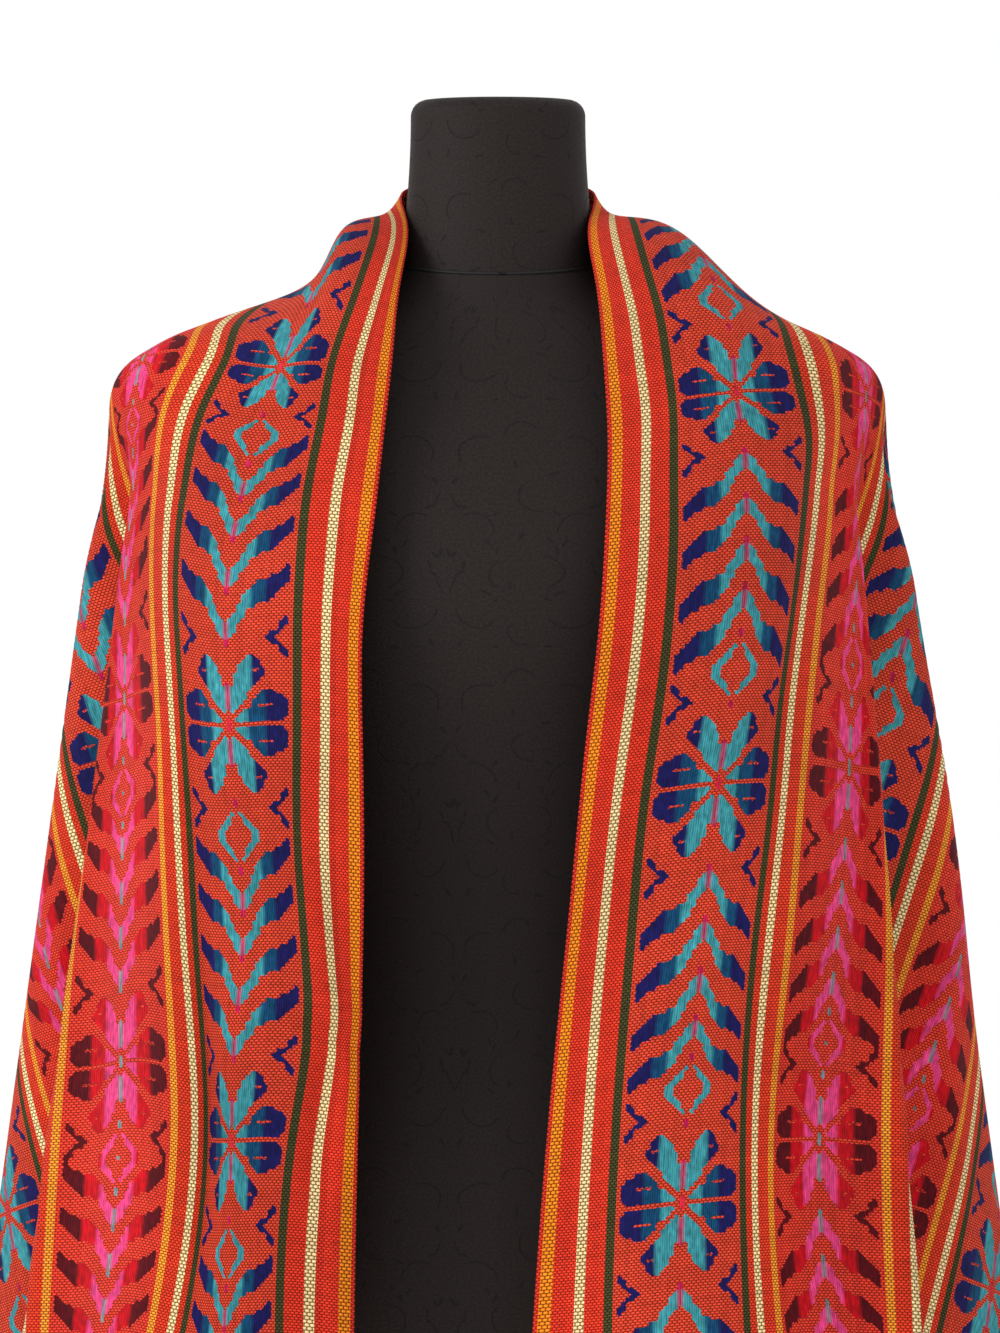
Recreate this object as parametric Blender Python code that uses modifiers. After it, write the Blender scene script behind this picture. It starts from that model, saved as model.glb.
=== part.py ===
"""A rebozo shawl worn over the shoulders of a limbless dress form.

Metres, +Z up, the front faces -Y, the wearer's left is at +X. The origin is on the floor, under the
middle of the stand. The cloth is one long rectangle. Two flat coordinates run over it: "across"
from the edge that lies round the neck, and "along" from the centre back towards either hem.
"""
import math

import bpy
import numpy as np

# ---- the flat cloth
CLOTH_WIDTH = 0.728
CLOTH_HALF_LENGTH = 0.95
CLOTH_WALL = 0.002
SEAM_GAP = 0.0006

# ---- where the shoulder tip lies on the flat cloth, and how softly the cloth bends over it
TIP_ACROSS = 0.196
TIP_ALONG = 0.270
SOFT_BEND = 0.024

# ---- the yoke: the cloth round the neck and over one shoulder, a row for each section
# along, then x, y, z of the neck edge, of the roll beside the neck, of the shoulder and of the outer line
YOKE_ACROSS = (0.0, 0.060, 0.125, TIP_ACROSS)
YOKE = (
    (0.000, (0.000, 0.078, 1.500), (0.000, 0.098, 1.444), (0.000, 0.112, 1.381), (0.000, 0.122, 1.312)),
    (0.077, (0.058, 0.040, 1.492), (0.069, 0.069, 1.445), (0.074, 0.088, 1.388), (0.074, 0.114, 1.318)),
    (0.143, (0.056, -0.012, 1.468), (0.100, 0.010, 1.468), (0.126, 0.048, 1.416), (0.132, 0.092, 1.345)),
    (0.210, (0.060, -0.055, 1.428), (0.114, -0.044, 1.444), (0.163, -0.006, 1.421), (0.190, 0.050, 1.372)),
    (0.270, (0.064, -0.087, 1.383), (0.123, -0.080, 1.392), (0.186, -0.058, 1.398), (0.237, 0.002, 1.388)),
)

# ---- the dip where the roll beside the neck meets each shoulder: its middle across and along, half its
# size each way, its depth, and how far it draws the cloth towards the neck
YOKE_DIP = {
    "left": (0.118, 0.180, 0.032, 0.070, 0.008, 0.000),
    "right": (0.092, 0.195, 0.036, 0.110, 0.013, 0.022),
}

# ---- the neck edge down the front of each side: below the shoulder, x to the side, y
FRONT_EDGE = {
    "left": (
        (0.00, 0.0640, -0.087),
        (0.05, 0.0665, -0.105),
        (0.11, 0.0650, -0.125),
        (0.17, 0.0610, -0.138),
        (0.24, 0.0530, -0.145),
        (0.32, 0.0450, -0.147),
        (0.46, 0.0310, -0.149),
        (0.80, 0.0100, -0.150),
    ),
    "right": (
        (0.00, 0.0640, -0.087),
        (0.05, 0.0690, -0.105),
        (0.11, 0.0750, -0.125),
        (0.17, 0.0810, -0.139),
        (0.24, 0.0810, -0.147),
        (0.32, 0.0800, -0.150),
        (0.46, 0.0830, -0.152),
        (0.80, 0.0880, -0.152),
    ),
}

# ---- the folds that fan out from each shoulder tip, front to back: how far each ridge or valley leans
# out to the side and forward, as a slope, and how far in from the tip it sets off
FAN = {
    "left": (
        ("front panel", 0.010, 0.232, 0.019),
        ("front ridge", 0.055, 0.220, 0.019),
        ("front pleat", -0.060, 0.130, 0.014),
        ("side front", 0.106, -0.020, 0.002),
        ("side ridge", 0.120, -0.110, 0.000),
        ("side valley", -0.120, -0.120, 0.000),
        ("back ridge", 0.118, -0.200, 0.000),
        ("back valley", -0.110, -0.230, 0.000),
        ("last ridge", 0.105, -0.280, 0.000),
        ("back panel", 0.026, -0.300, 0.000),
    ),
    "right": (
        ("front panel", 0.064, 0.145, 0.017),
        ("front ridge", 0.108, 0.115, 0.017),
        ("front pleat", -0.045, 0.055, 0.013),
        ("side front", 0.108, -0.055, 0.002),
        ("side ridge", 0.120, -0.140, 0.000),
        ("side valley", -0.118, -0.150, 0.000),
        ("back ridge", 0.116, -0.225, 0.000),
        ("back valley", -0.110, -0.250, 0.000),
        ("last ridge", 0.102, -0.295, 0.000),
        ("back panel", 0.022, -0.305, 0.000),
    ),
}
# how far below the tip the folds set in, from none to their full slope
FAN_OPENS = (0.02, 0.15)
FAN_START = 0.10
FAN_WALK = 24
PLAIN_BULGE = 0.10
# a slope that leans inwards stops doing so about this far down
VALLEY_REACH = 0.29

# ---- the soft roll of each front panel between its neck edge and its fold: how far out to the side,
# most of it at one height, and how far forward, growing all the way down
FRONT_ROLL = {"left": (0.000, 0.006), "right": (0.006, 0.022)}
ROLL_OUT_AT = 0.22
ROLL_OUT_HALF = 0.20
ROLL_FORWARD_GROWS = (0.05, 0.40)

# ---- the yoke's dip fades out this far below the shoulder tip
DIP_FADES = (0.03, 0.18)

# steps of the walk down the hang that keeps the cloth's own length
HANG_STEPS = 28

# ---- the rows and columns of the cloth's wall
SEAM_ALONG = 0.210
SEAM_ROW = 0.003
YOKE_COLUMNS = 10
SHOULDER_ROWS = 4
BACK_COLUMNS = 10
PLEAT_STEPS = 5
HANG_LEVELS = (0.0, 0.02, 0.045, 0.075, 0.115, 0.165, 0.22, 0.285, 0.36, 0.44, 0.52, 0.60, 0.68, 0.76,
               0.84, 0.92, 1.0)

# ---- the fringe: a narrow heading strip just below each hem, and flat locks of warp ends under it
FRINGE_GAP = 0.0010
FRINGE_HEADING = 0.005
FRINGE_LOCKS = 40
FRINGE_LENGTH = 0.095
LOCK_WIDTH = 0.009
LOCK_WALL = 0.0022
LOCK_TAPER = 0.62
LOCK_BEND = 0.45

# ---- the dress form: level sections of its torso, bottom to top
# height, half width, depth in front, depth behind, squareness of the section (2 is an ellipse)
FORM_TORSO = (
    (0.770, 0.158, 0.098, 0.104, 2.5),
    (0.830, 0.160, 0.102, 0.110, 2.5),
    (0.900, 0.150, 0.098, 0.100, 2.4),
    (1.000, 0.124, 0.086, 0.080, 2.3),
    (1.080, 0.130, 0.092, 0.082, 2.3),
    (1.160, 0.146, 0.108, 0.090, 2.4),
    (1.230, 0.160, 0.120, 0.096, 2.5),
    (1.290, 0.170, 0.108, 0.100, 2.7),
    (1.340, 0.182, 0.084, 0.086, 2.8),
    (1.370, 0.185, 0.067, 0.075, 2.5),
    (1.393, 0.169, 0.055, 0.065, 2.3),
    (1.411, 0.130, 0.049, 0.057, 2.1),
    (1.424, 0.088, 0.045, 0.052, 2.0),
    (1.444, 0.0610, 0.042, 0.050, 2.0),
)
FORM_ROUNDING = 0.022
FORM_SETBACK = 0.008
BODY_RINGS = 13
SHOULDER_RINGS = 9
FORM_ROUND = 28
# the neck seam dips to the front, and the tilt grows from this height up
NECK_TILT = 0.20
TILT_FROM = 1.36
NECK_TOP = 1.545
NECK_TAPER = 0.90
NECK_ROUND = 0.010
NECK_LEVELS = (0.0, 0.12, 0.3, 0.6, 1.0)
PIECE_GAP = 0.0004

# ---- the stand: a pole with a flange under the torso, in the socket of a round base
POLE_RADIUS = 0.016
BASE_RADIUS = 0.205
BASE_EDGE = 0.012
BASE_CROWN = 0.028
BASE_BEVEL = 0.004
SOCKET_RADIUS = 0.034
SOCKET_LIP = 0.026
SOCKET_TOP = 0.085
SOCKET_FOOT = 0.054
FLANGE_RADIUS = 0.060
FLANGE_THICKNESS = 0.012
FLANGE_NECK = 0.024


def smooth_step(value, low, high):
    """0 below low, 1 above high, and a smooth rise between."""
    t = np.clip((value - low) / (high - low), 0.0, 1.0)
    return t * t * (3.0 - 2.0 * t)


def soft_ramp(value, half_width):
    """0 below -half_width, the value itself above half_width, and a parabola between."""
    bend = (value + half_width) ** 2 / (4.0 * half_width)
    return np.where(value <= -half_width, 0.0, np.where(value >= half_width, value, bend))


def spline(knots, points, at):
    """A natural cubic spline through points (a row for each knot), read at the given values."""
    knots = np.asarray(knots, float)
    points = np.asarray(points, float)
    at = np.asarray(at, float)
    count = len(knots)
    gaps = np.diff(knots)
    system = np.eye(count)
    right_side = np.zeros_like(points)
    for k in range(1, count - 1):
        system[k, k - 1] = gaps[k - 1]
        system[k, k] = 2.0 * (gaps[k - 1] + gaps[k])
        system[k, k + 1] = gaps[k]
        slopes = (points[k + 1] - points[k]) / gaps[k], (points[k] - points[k - 1]) / gaps[k - 1]
        right_side[k] = 6.0 * (slopes[0] - slopes[1])
    bends = np.linalg.solve(system, right_side.reshape(count, -1)).reshape(points.shape)
    k = np.clip(np.searchsorted(knots, at) - 1, 0, count - 2)
    shape = at.shape + (1,) * (points.ndim - 1)
    width = gaps[k].reshape(shape)
    before = (knots[k + 1] - at).reshape(shape)
    after = (at - knots[k]).reshape(shape)
    return (bends[k] * before ** 3 / (6.0 * width) + bends[k + 1] * after ** 3 / (6.0 * width)
            + (points[k] / width - bends[k] * width / 6.0) * before
            + (points[k + 1] / width - bends[k + 1] * width / 6.0) * after)


def yoke_point(across, along):
    """A point of the cloth over the neck and one shoulder."""
    knots = [-row[0] for row in reversed(YOKE[1:])] + [row[0] for row in YOKE]
    here = np.array([row[1:] for row in YOKE])
    mirrored = here[1:][::-1] * np.array([-1.0, 1.0, 1.0])
    sections = spline(knots, np.concatenate([mirrored, here]), along)
    weights = spline(YOKE_ACROSS, np.eye(len(YOKE_ACROSS)), across)
    return np.einsum("nk,nkc->nc", weights, sections)


def fan_curve(side):
    """The flat angle from front to back, and the fan's slopes and start at each."""
    nodes = np.array([row[1:] for row in FAN[side]])
    before = nodes[0] + np.array([-0.09, 0.01, 0.0])
    after = nodes[-1] + np.array([-0.09, 0.0, 0.0])
    points = np.vstack([before, nodes, after])
    samples = []
    for k in range(1, len(points) - 2):
        p0, p1, p2, p3 = points[k - 1:k + 3]
        t = np.linspace(0.0, 1.0, FAN_WALK, endpoint=False)[:, None]
        samples.append(0.5 * (2.0 * p1 + (p2 - p0) * t + (2.0 * p0 - 5.0 * p1 + 4.0 * p2 - p3) * t ** 2
                              + (3.0 * p1 - p0 - 3.0 * p2 + p3) * t ** 3))
    samples.append(points[-2][None, :])
    curve = np.vstack(samples)
    runs = np.linalg.norm(np.diff(curve[:, :2], axis=0), axis=1)
    length = np.concatenate([[0.0], np.cumsum(runs)])
    return length / length[-1] * (math.pi / 2.0), curve


def hang_offset(side, across, along, angle, reach):
    """How far the hanging cloth moves sideways and in y from where its hang begins."""
    angles, curve = fan_curve(side)
    folded = np.stack([np.interp(angle, angles, curve[:, k]) for k in range(3)], axis=-1)
    share = (angle / (math.pi / 2.0))[..., None]
    plain = curve[0] * (1.0 - share) + curve[-1] * share
    plain[..., 0] += PLAIN_BULGE * np.sin(2.0 * angle)
    opened = smooth_step(reach, *FAN_OPENS)[..., None]
    slopes = plain + (folded - plain) * opened
    inward = VALLEY_REACH * (1.0 - np.exp(-reach / VALLEY_REACH))
    out = slopes[..., 0] * np.where(slopes[..., 0] < 0.0, inward, reach)
    out = out - slopes[..., 2] * smooth_step(reach, 0.0, FAN_START)
    forward = slopes[..., 1] * reach

    edge = np.array(FRONT_EDGE[side])
    edge_now = spline(edge[:, 0], edge[:, 1:] - edge[0, 1:], np.minimum(reach, edge[-1, 0]))
    towards_edge = (1.0 - across / TIP_ACROSS) * np.cos(angle) ** 2
    panel_out = curve[0, 0] * reach - curve[0, 2] * smooth_step(reach, 0.0, FAN_START)
    out = out + towards_edge * (edge_now[..., 0] - panel_out)
    forward = forward + towards_edge * (-edge_now[..., 1] - curve[0, 1] * reach)
    roll = np.sin(math.pi * np.clip(across / TIP_ACROSS, 0.0, 1.0)) * np.cos(angle) ** 2
    roll_out, roll_forward = FRONT_ROLL[side]
    out = out + roll_out * roll * np.exp(-((reach - ROLL_OUT_AT) / ROLL_OUT_HALF) ** 2)
    forward = forward + roll_forward * roll * smooth_step(reach, *ROLL_FORWARD_GROWS)

    towards_centre = (1.0 - along / TIP_ALONG) * np.sin(angle) ** 2
    out = out - towards_centre * curve[-1, 0] * reach
    forward = forward - towards_centre * curve[-1, 1] * reach
    return out, -forward


def half_cloth_point(side, across, along):
    """A point of one half of the cloth, as if it were the +X half."""
    past_across = soft_ramp(across - TIP_ACROSS, SOFT_BEND)
    past_along = soft_ramp(along - TIP_ALONG, SOFT_BEND)
    held_across = across - past_across
    held_along = along - past_along
    start = yoke_point(held_across, held_along)
    middle_across, middle_along, half_across, half_along, depth, draw = YOKE_DIP[side]
    dip = np.exp(-((held_across - middle_across) / half_across) ** 2
                 - ((held_along - middle_along) / half_along) ** 2)
    reach = np.hypot(past_across, past_along)
    start[:, 0] -= draw * dip * (1.0 - smooth_step(reach, *DIP_FADES))
    start[:, 2] -= depth * dip
    angle = np.arctan2(past_across, past_along)
    travelled = reach[:, None] * np.linspace(0.0, 1.0, HANG_STEPS + 1)[None, :]
    wide = [np.repeat(value[:, None], HANG_STEPS + 1, axis=1) for value in (held_across, held_along, angle)]
    out, y = hang_offset(side, *[value.ravel() for value in wide], travelled.ravel())
    out = out.reshape(travelled.shape)
    y = y.reshape(travelled.shape)
    level = np.hypot(np.diff(out, axis=1), np.diff(y, axis=1))
    drop = np.sqrt(np.maximum((reach[:, None] / HANG_STEPS) ** 2 - level ** 2, 0.0)).sum(axis=1)
    return start + np.stack([out[:, -1], y[:, -1], -drop], axis=-1)


def cloth_points(across, along):
    """Points of the whole cloth. Along is positive at +X and negative at -X."""
    across = np.asarray(across, float)
    along = np.asarray(along, float)
    plus = half_cloth_point("left", across, np.abs(along))
    minus = half_cloth_point("right", across, np.abs(along)) * np.array([-1.0, 1.0, 1.0])
    return np.where((along >= 0.0)[:, None], plus, minus)


# ==== build
def clear_scene():
    for found in list(bpy.data.objects):
        bpy.data.objects.remove(found, do_unlink=True)


def material(name, colour, roughness, metallic=0.0):
    made = bpy.data.materials.new(name)
    made.use_nodes = True
    shader = made.node_tree.nodes["Principled BSDF"]
    shader.inputs["Base Color"].default_value = (*colour, 1.0)
    shader.inputs["Roughness"].default_value = roughness
    shader.inputs["Metallic"].default_value = metallic
    return made


def new_object(name, mesh, finish, collection):
    made = bpy.data.objects.new(name, mesh)
    mesh.materials.append(finish)
    mesh.shade_smooth()
    mesh.set_sharp_from_angle(angle=math.radians(40.0))
    collection.objects.link(made)
    return made


class FlatPatches:
    """Faces on the flat cloth. Corners that patches share are one vertex."""

    def __init__(self, sign):
        self.sign = sign
        self.index = {}
        self.faces = []

    def corner(self, across, along):
        key = (round(across, 6), round(along, 6))
        return self.index.setdefault(key, len(self.index))

    def add(self, rows):
        """Quads between rows of (across, along) points, or triangles where a row starts from one point."""
        for upper, lower in zip(rows, rows[1:]):
            for k in range(len(upper) - 1):
                loop = [self.corner(*p) for p in (upper[k], lower[k], lower[k + 1], upper[k + 1])]
                face = [v for n, v in enumerate(loop) if v not in loop[:n]]
                self.faces.append(face if self.sign > 0 else face[::-1])

    def mesh(self, name):
        flat = np.array(list(self.index))
        points = cloth_points(flat[:, 0], flat[:, 1] * self.sign)
        made = bpy.data.meshes.new(name)
        made.from_pydata([tuple(p) for p in points], [], self.faces)
        return made


def hang_length(angle):
    """From the shoulder tip to the cloth's edge, along a ray of the fan."""
    down = (CLOTH_HALF_LENGTH - TIP_ALONG) / max(math.cos(angle), 1e-9)
    side = (CLOTH_WIDTH - TIP_ACROSS) / max(math.sin(angle), 1e-9)
    return min(down, side)


def fan_angles(side):
    """The rays of the fan: every ridge and valley, and even steps between them."""
    angles, _ = fan_curve(side)
    marks = angles[::FAN_WALK]
    hem_corner = math.atan2(CLOTH_WIDTH - TIP_ACROSS, CLOTH_HALF_LENGTH - TIP_ALONG)
    rays = [0.0]
    for start, end in zip(marks, marks[1:]):
        rays.extend(start + (end - start) * (k + 1) / PLEAT_STEPS for k in range(PLEAT_STEPS))
    nearest = min(range(len(rays)), key=lambda k: abs(rays[k] - hem_corner))
    rays[nearest] = hem_corner
    rays[-1] = math.pi / 2.0
    return rays


def yoke_columns():
    return [TIP_ACROSS * k / YOKE_COLUMNS for k in range(YOKE_COLUMNS + 1)]


def hang_columns():
    """How far across the back each level of the hang lies."""
    return [TIP_ACROSS + (CLOTH_WIDTH - TIP_ACROSS) * level for level in HANG_LEVELS]


def front_mesh(name, side, sign):
    """One front: its part of the yoke, the panel under it, the fan of folds and a strip of the back."""
    patches = FlatPatches(sign)
    near = SEAM_ALONG + SEAM_GAP / 2.0
    rows = [near, SEAM_ALONG + SEAM_ROW]
    rows += [SEAM_ALONG + (TIP_ALONG - SEAM_ALONG) * k / SHOULDER_ROWS for k in range(1, SHOULDER_ROWS + 1)]
    patches.add([[(u, v) for u in yoke_columns()] for v in rows])
    drop = CLOTH_HALF_LENGTH - TIP_ALONG
    patches.add([[(u, TIP_ALONG + drop * level) for u in yoke_columns()] for level in HANG_LEVELS])
    rays = fan_angles(side)
    patches.add([[(TIP_ACROSS + level * hang_length(a) * math.sin(a),
                   TIP_ALONG + level * hang_length(a) * math.cos(a)) for a in rays]
                 for level in HANG_LEVELS])
    patches.add([[(u, v) for v in reversed(rows)] for u in hang_columns()])
    return patches.mesh(name)


def back_mesh(name):
    patches = FlatPatches(1.0)
    half = [SEAM_ALONG * k / BACK_COLUMNS for k in range(BACK_COLUMNS)]
    half += [SEAM_ALONG - SEAM_ROW, SEAM_ALONG - SEAM_GAP / 2.0]
    across = yoke_columns() + hang_columns()[1:]
    patches.add([[(u, v) for u in across] for v in [-v for v in reversed(half[1:])] + half])
    return patches.mesh(name)


def thicken(made, wall):
    solid = made.modifiers.new("wall", "SOLIDIFY")
    solid.thickness = wall
    solid.offset = 0.0
    return solid


def add_cloth(collection):
    """The cloth in three stretches, one over the back and yoke and one down each front."""
    stretches = (
        back_mesh("shawl_back"),
        front_mesh("shawl_left_front", "left", 1.0),
        front_mesh("shawl_right_front", "right", -1.0),
    )
    for mesh in stretches:
        finish = material(mesh.name + "_cloth", (0.72, 0.10, 0.03), 0.85)
        made = new_object(mesh.name, mesh, finish, collection)
        thicken(made, CLOTH_WALL)


def hem_line(edges, side, along):
    """Points on the straight runs between the cloth's own columns, so that the strip meets the hem."""
    drop = CLOTH_HALF_LENGTH - TIP_ALONG
    fan = [TIP_ACROSS + drop * math.tan(a) for a in fan_angles(side) if a < math.pi / 4.0]
    columns = yoke_columns() + [u for u in fan[1:] if u < CLOTH_WIDTH - 1e-6] + [CLOTH_WIDTH]
    corners = cloth_points(columns, np.full(len(columns), along))
    return np.stack([np.interp(edges, columns, corners[:, k]) for k in range(3)], axis=-1)


def add_fringe(name, side, sign, collection):
    """A comb: the heading strip follows the hem, and the locks hang straight down from it."""
    top = CLOTH_HALF_LENGTH + FRINGE_GAP
    low = top + FRINGE_HEADING
    pitch = CLOTH_WIDTH / FRINGE_LOCKS
    lefts = [pitch * (k + 0.5) - LOCK_WIDTH / 2.0 for k in range(FRINGE_LOCKS)]
    edges = sorted([0.0, CLOTH_WIDTH] + lefts + [value + LOCK_WIDTH for value in lefts])
    count = len(edges)
    upper = hem_line(edges, side, sign * top)
    lower = hem_line(edges, side, sign * low)
    points = [tuple(p) for p in upper] + [tuple(p) for p in lower]
    faces = [(k, k + 1, count + k + 1, count + k) for k in range(count - 1)]
    for lock in range(FRINGE_LOCKS):
        first = 1 + 2 * lock
        left, right = np.array(lower[first]), np.array(lower[first + 1])
        row = (count + first, count + first + 1)
        for share in (LOCK_BEND, 1.0):
            width = 1.0 - (1.0 - LOCK_TAPER) * share
            middle = (left + right) / 2.0 + np.array([0.0, 0.0, -FRINGE_LENGTH * share])
            half = (right - left) / 2.0 * width
            points += [tuple(middle - half), tuple(middle + half)]
            new = (len(points) - 2, len(points) - 1)
            faces.append((row[0], row[1], new[1], new[0]))
            row = new
    mesh = bpy.data.meshes.new(name)
    mesh.from_pydata(points, [], faces)
    made = new_object(name, mesh, material(name + "_yarn", (0.62, 0.11, 0.04), 0.85), collection)
    thicken(made, LOCK_WALL)


def form_section(height, width, front, behind, square):
    """One level ring of the dress form."""
    ring = []
    for k in range(FORM_ROUND):
        turn = 2.0 * math.pi * k / FORM_ROUND
        c, s = math.cos(turn), math.sin(turn)
        x = width * math.copysign(abs(c) ** (2.0 / square), c)
        deep = behind if s > 0.0 else front
        y = deep * math.copysign(abs(s) ** (2.0 / square), s)
        ring.append((x, y + FORM_SETBACK, height))
    return ring


def loft(name, rings):
    """A closed solid through rings of equal count, bottom to top, with flat ends."""
    mesh = bpy.data.meshes.new(name)
    count = len(rings[0])
    points = [p for ring in rings for p in ring]
    faces = [tuple(reversed(range(count)))]
    for j in range(len(rings) - 1):
        for k in range(count):
            low, next_low = j * count + k, j * count + (k + 1) % count
            faces.append((low, next_low, next_low + count, low + count))
    faces.append(tuple(range((len(rings) - 1) * count, len(rings) * count)))
    mesh.from_pydata(points, [], faces)
    return mesh


def tilted(ring, share):
    """The neck seam dips to the front."""
    return [(x, y, z + NECK_TILT * share * (y - FORM_SETBACK)) for x, y, z in ring]


def add_form(collection):
    cover = material("form_cover", (0.012, 0.012, 0.014), 0.7)
    table = np.array(FORM_TORSO)
    heights = table[:, 0]
    shoulder = heights[-4]
    levels = np.linspace(heights[0], shoulder, BODY_RINGS).tolist()
    levels += np.linspace(shoulder, heights[-1], SHOULDER_RINGS + 1)[1:].tolist()
    rings = []
    for share in (0.0, 0.35):
        inset = FORM_ROUNDING * (1.0 - math.sqrt(1.0 - (1.0 - share) ** 2))
        width, front, behind, square = table[0, 1:]
        rings.append(form_section(levels[0] - FORM_ROUNDING * (1.0 - share),
                                  width - inset, front - inset, behind - inset, square))
    for level in levels:
        width, front, behind, square = spline(heights, table[:, 1:], np.array([level]))[0]
        lift = float(smooth_step(level, TILT_FROM, heights[-1]))
        rings.append(tilted(form_section(level, width, front, behind, square), lift))
    new_object("form_torso", loft("form_torso", rings), cover, collection)

    top, width, front, behind, square = FORM_TORSO[-1]
    neck = []
    for share in NECK_LEVELS:
        level = top + PIECE_GAP + (NECK_TOP - NECK_ROUND - top) * share
        slim = 1.0 - (1.0 - NECK_TAPER) * math.sin(share * math.pi / 2.0)
        ring = form_section(level, width * slim, front * slim, behind * slim, square)
        neck.append(tilted(ring, 1.0 - share))
    for turn in (math.pi / 4.0, math.pi / 2.0):
        inset = NECK_ROUND * (1.0 - math.cos(turn))
        level = NECK_TOP - NECK_ROUND * (1.0 - math.sin(turn))
        half_sizes = [size * NECK_TAPER - inset for size in (width, front, behind)]
        neck.append(form_section(level, *half_sizes, square))
    new_object("form_neck", loft("form_neck", neck), material("neck_cover", (0.012, 0.012, 0.014), 0.7),
               collection)


def turned(name, profile, finish, collection, steps=32):
    """A turned solid: a profile from top to bottom at +X, closed on the axis."""
    mesh = bpy.data.meshes.new(name)
    points = [(radius, 0.0, height) for radius, height in profile]
    mesh.from_pydata(points, [(k, k + 1) for k in range(len(points) - 1)], [])
    made = bpy.data.objects.new(name, mesh)
    mesh.materials.append(finish)
    collection.objects.link(made)
    screw = made.modifiers.new("turn", "SCREW")
    screw.steps = steps
    screw.render_steps = steps
    screw.use_merge_vertices = True
    screw.merge_threshold = 0.0001
    screw.use_smooth_shade = True


def add_stand(collection):
    metal = material("stand_metal", (0.03, 0.03, 0.032), 0.35, 0.6)
    torso_low = FORM_TORSO[0][0] - FORM_ROUNDING
    pole_top = torso_low - PIECE_GAP
    turned("form_pole", (
        (0.0, pole_top),
        (FLANGE_RADIUS, pole_top),
        (FLANGE_RADIUS, pole_top - FLANGE_THICKNESS),
        (FLANGE_NECK, pole_top - FLANGE_THICKNESS),
        (POLE_RADIUS, pole_top - FLANGE_THICKNESS * 2.0),
        (POLE_RADIUS, SOCKET_TOP + PIECE_GAP),
        (0.0, SOCKET_TOP + PIECE_GAP),
    ), metal, collection)
    turned("form_base", (
        (0.0, SOCKET_TOP),
        (SOCKET_LIP - BASE_BEVEL / 2.0, SOCKET_TOP),
        (SOCKET_LIP, SOCKET_TOP - BASE_BEVEL),
        (SOCKET_RADIUS, BASE_CROWN + BASE_EDGE),
        (SOCKET_FOOT, BASE_CROWN),
        (BASE_RADIUS * 0.75, (BASE_CROWN + BASE_EDGE) / 2.0),
        (BASE_RADIUS - BASE_BEVEL, BASE_EDGE),
        (BASE_RADIUS, BASE_EDGE - BASE_BEVEL),
        (BASE_RADIUS, 0.0),
        (0.0, 0.0),
    ), material("base_metal", (0.03, 0.03, 0.032), 0.35, 0.6), collection, steps=48)


def main():
    clear_scene()
    collection = bpy.data.collections.new("rebozo_shawl_on_dress_form")
    bpy.context.scene.collection.children.link(collection)
    add_cloth(collection)
    add_fringe("fringe_left", "left", 1.0, collection)
    add_fringe("fringe_right", "right", -1.0, collection)
    add_form(collection)
    add_stand(collection)


main()
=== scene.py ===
"""Looks of a rebozo shawl worn over the shoulders of a limbless dress form.

Metres, +Z up, the front faces -Y, the wearer's left is at +X. The cloth is one long rectangle with
two flat coordinates: "across" from the neck edge and "along" from the centre back to each hem.
"""
import math

import bpy
import numpy as np
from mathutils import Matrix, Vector


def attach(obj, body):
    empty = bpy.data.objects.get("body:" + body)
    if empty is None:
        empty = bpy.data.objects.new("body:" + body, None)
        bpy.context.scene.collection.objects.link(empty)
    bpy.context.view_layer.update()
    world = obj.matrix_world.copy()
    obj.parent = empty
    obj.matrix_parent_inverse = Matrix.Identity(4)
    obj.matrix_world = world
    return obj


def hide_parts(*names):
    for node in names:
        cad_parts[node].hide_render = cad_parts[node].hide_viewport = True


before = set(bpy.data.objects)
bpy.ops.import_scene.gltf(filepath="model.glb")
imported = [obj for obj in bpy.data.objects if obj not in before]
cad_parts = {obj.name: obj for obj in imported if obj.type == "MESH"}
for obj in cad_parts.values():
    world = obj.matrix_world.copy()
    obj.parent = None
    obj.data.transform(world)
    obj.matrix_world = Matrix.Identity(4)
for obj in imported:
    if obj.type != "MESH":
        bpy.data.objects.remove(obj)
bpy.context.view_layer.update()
scene = bpy.context.scene

MM = 0.001
QUARTER_TURN = math.pi / 2.0
SIDES = (("left", 1.0), ("right", -1.0))

# ---- the flat cloth, and where the back meets each front
CLOTH_WIDTH = 0.728
CLOTH_HALF_LENGTH = 0.95
SEAM_ALONG = 0.210

# ---- where the shoulder tip lies on the flat cloth, and how softly the cloth bends over it
TIP_ACROSS = 0.196
TIP_ALONG = 0.270
SOFT_BEND = 0.024

# ---- the yoke: the cloth round the neck and over one shoulder, a row for each section, in mm
# along, then x, y, z of the neck edge, of the roll beside the neck, of the shoulder and of the
# outer line
YOKE_ACROSS = (0.0, 0.060, 0.125, TIP_ACROSS)
YOKE = (
    (0, (0, 78, 1500), (0, 98, 1444), (0, 112, 1381), (0, 122, 1312)),
    (77, (58, 40, 1492), (69, 69, 1445), (74, 88, 1388), (74, 114, 1318)),
    (143, (56, -12, 1468), (100, 10, 1468), (126, 48, 1416), (132, 92, 1345)),
    (210, (60, -55, 1428), (114, -44, 1444), (163, -6, 1421), (190, 50, 1372)),
    (270, (64, -87, 1383), (123, -80, 1392), (186, -58, 1398), (237, 2, 1388)),
)

# ---- the dip where the roll beside the neck meets each shoulder, in mm: its middle across and
# along, half its size each way, its depth, and how far it draws the cloth towards the neck
YOKE_DIP = {"left": (118, 180, 32, 70, 8, 0), "right": (92, 195, 36, 110, 13, 22)}

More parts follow.
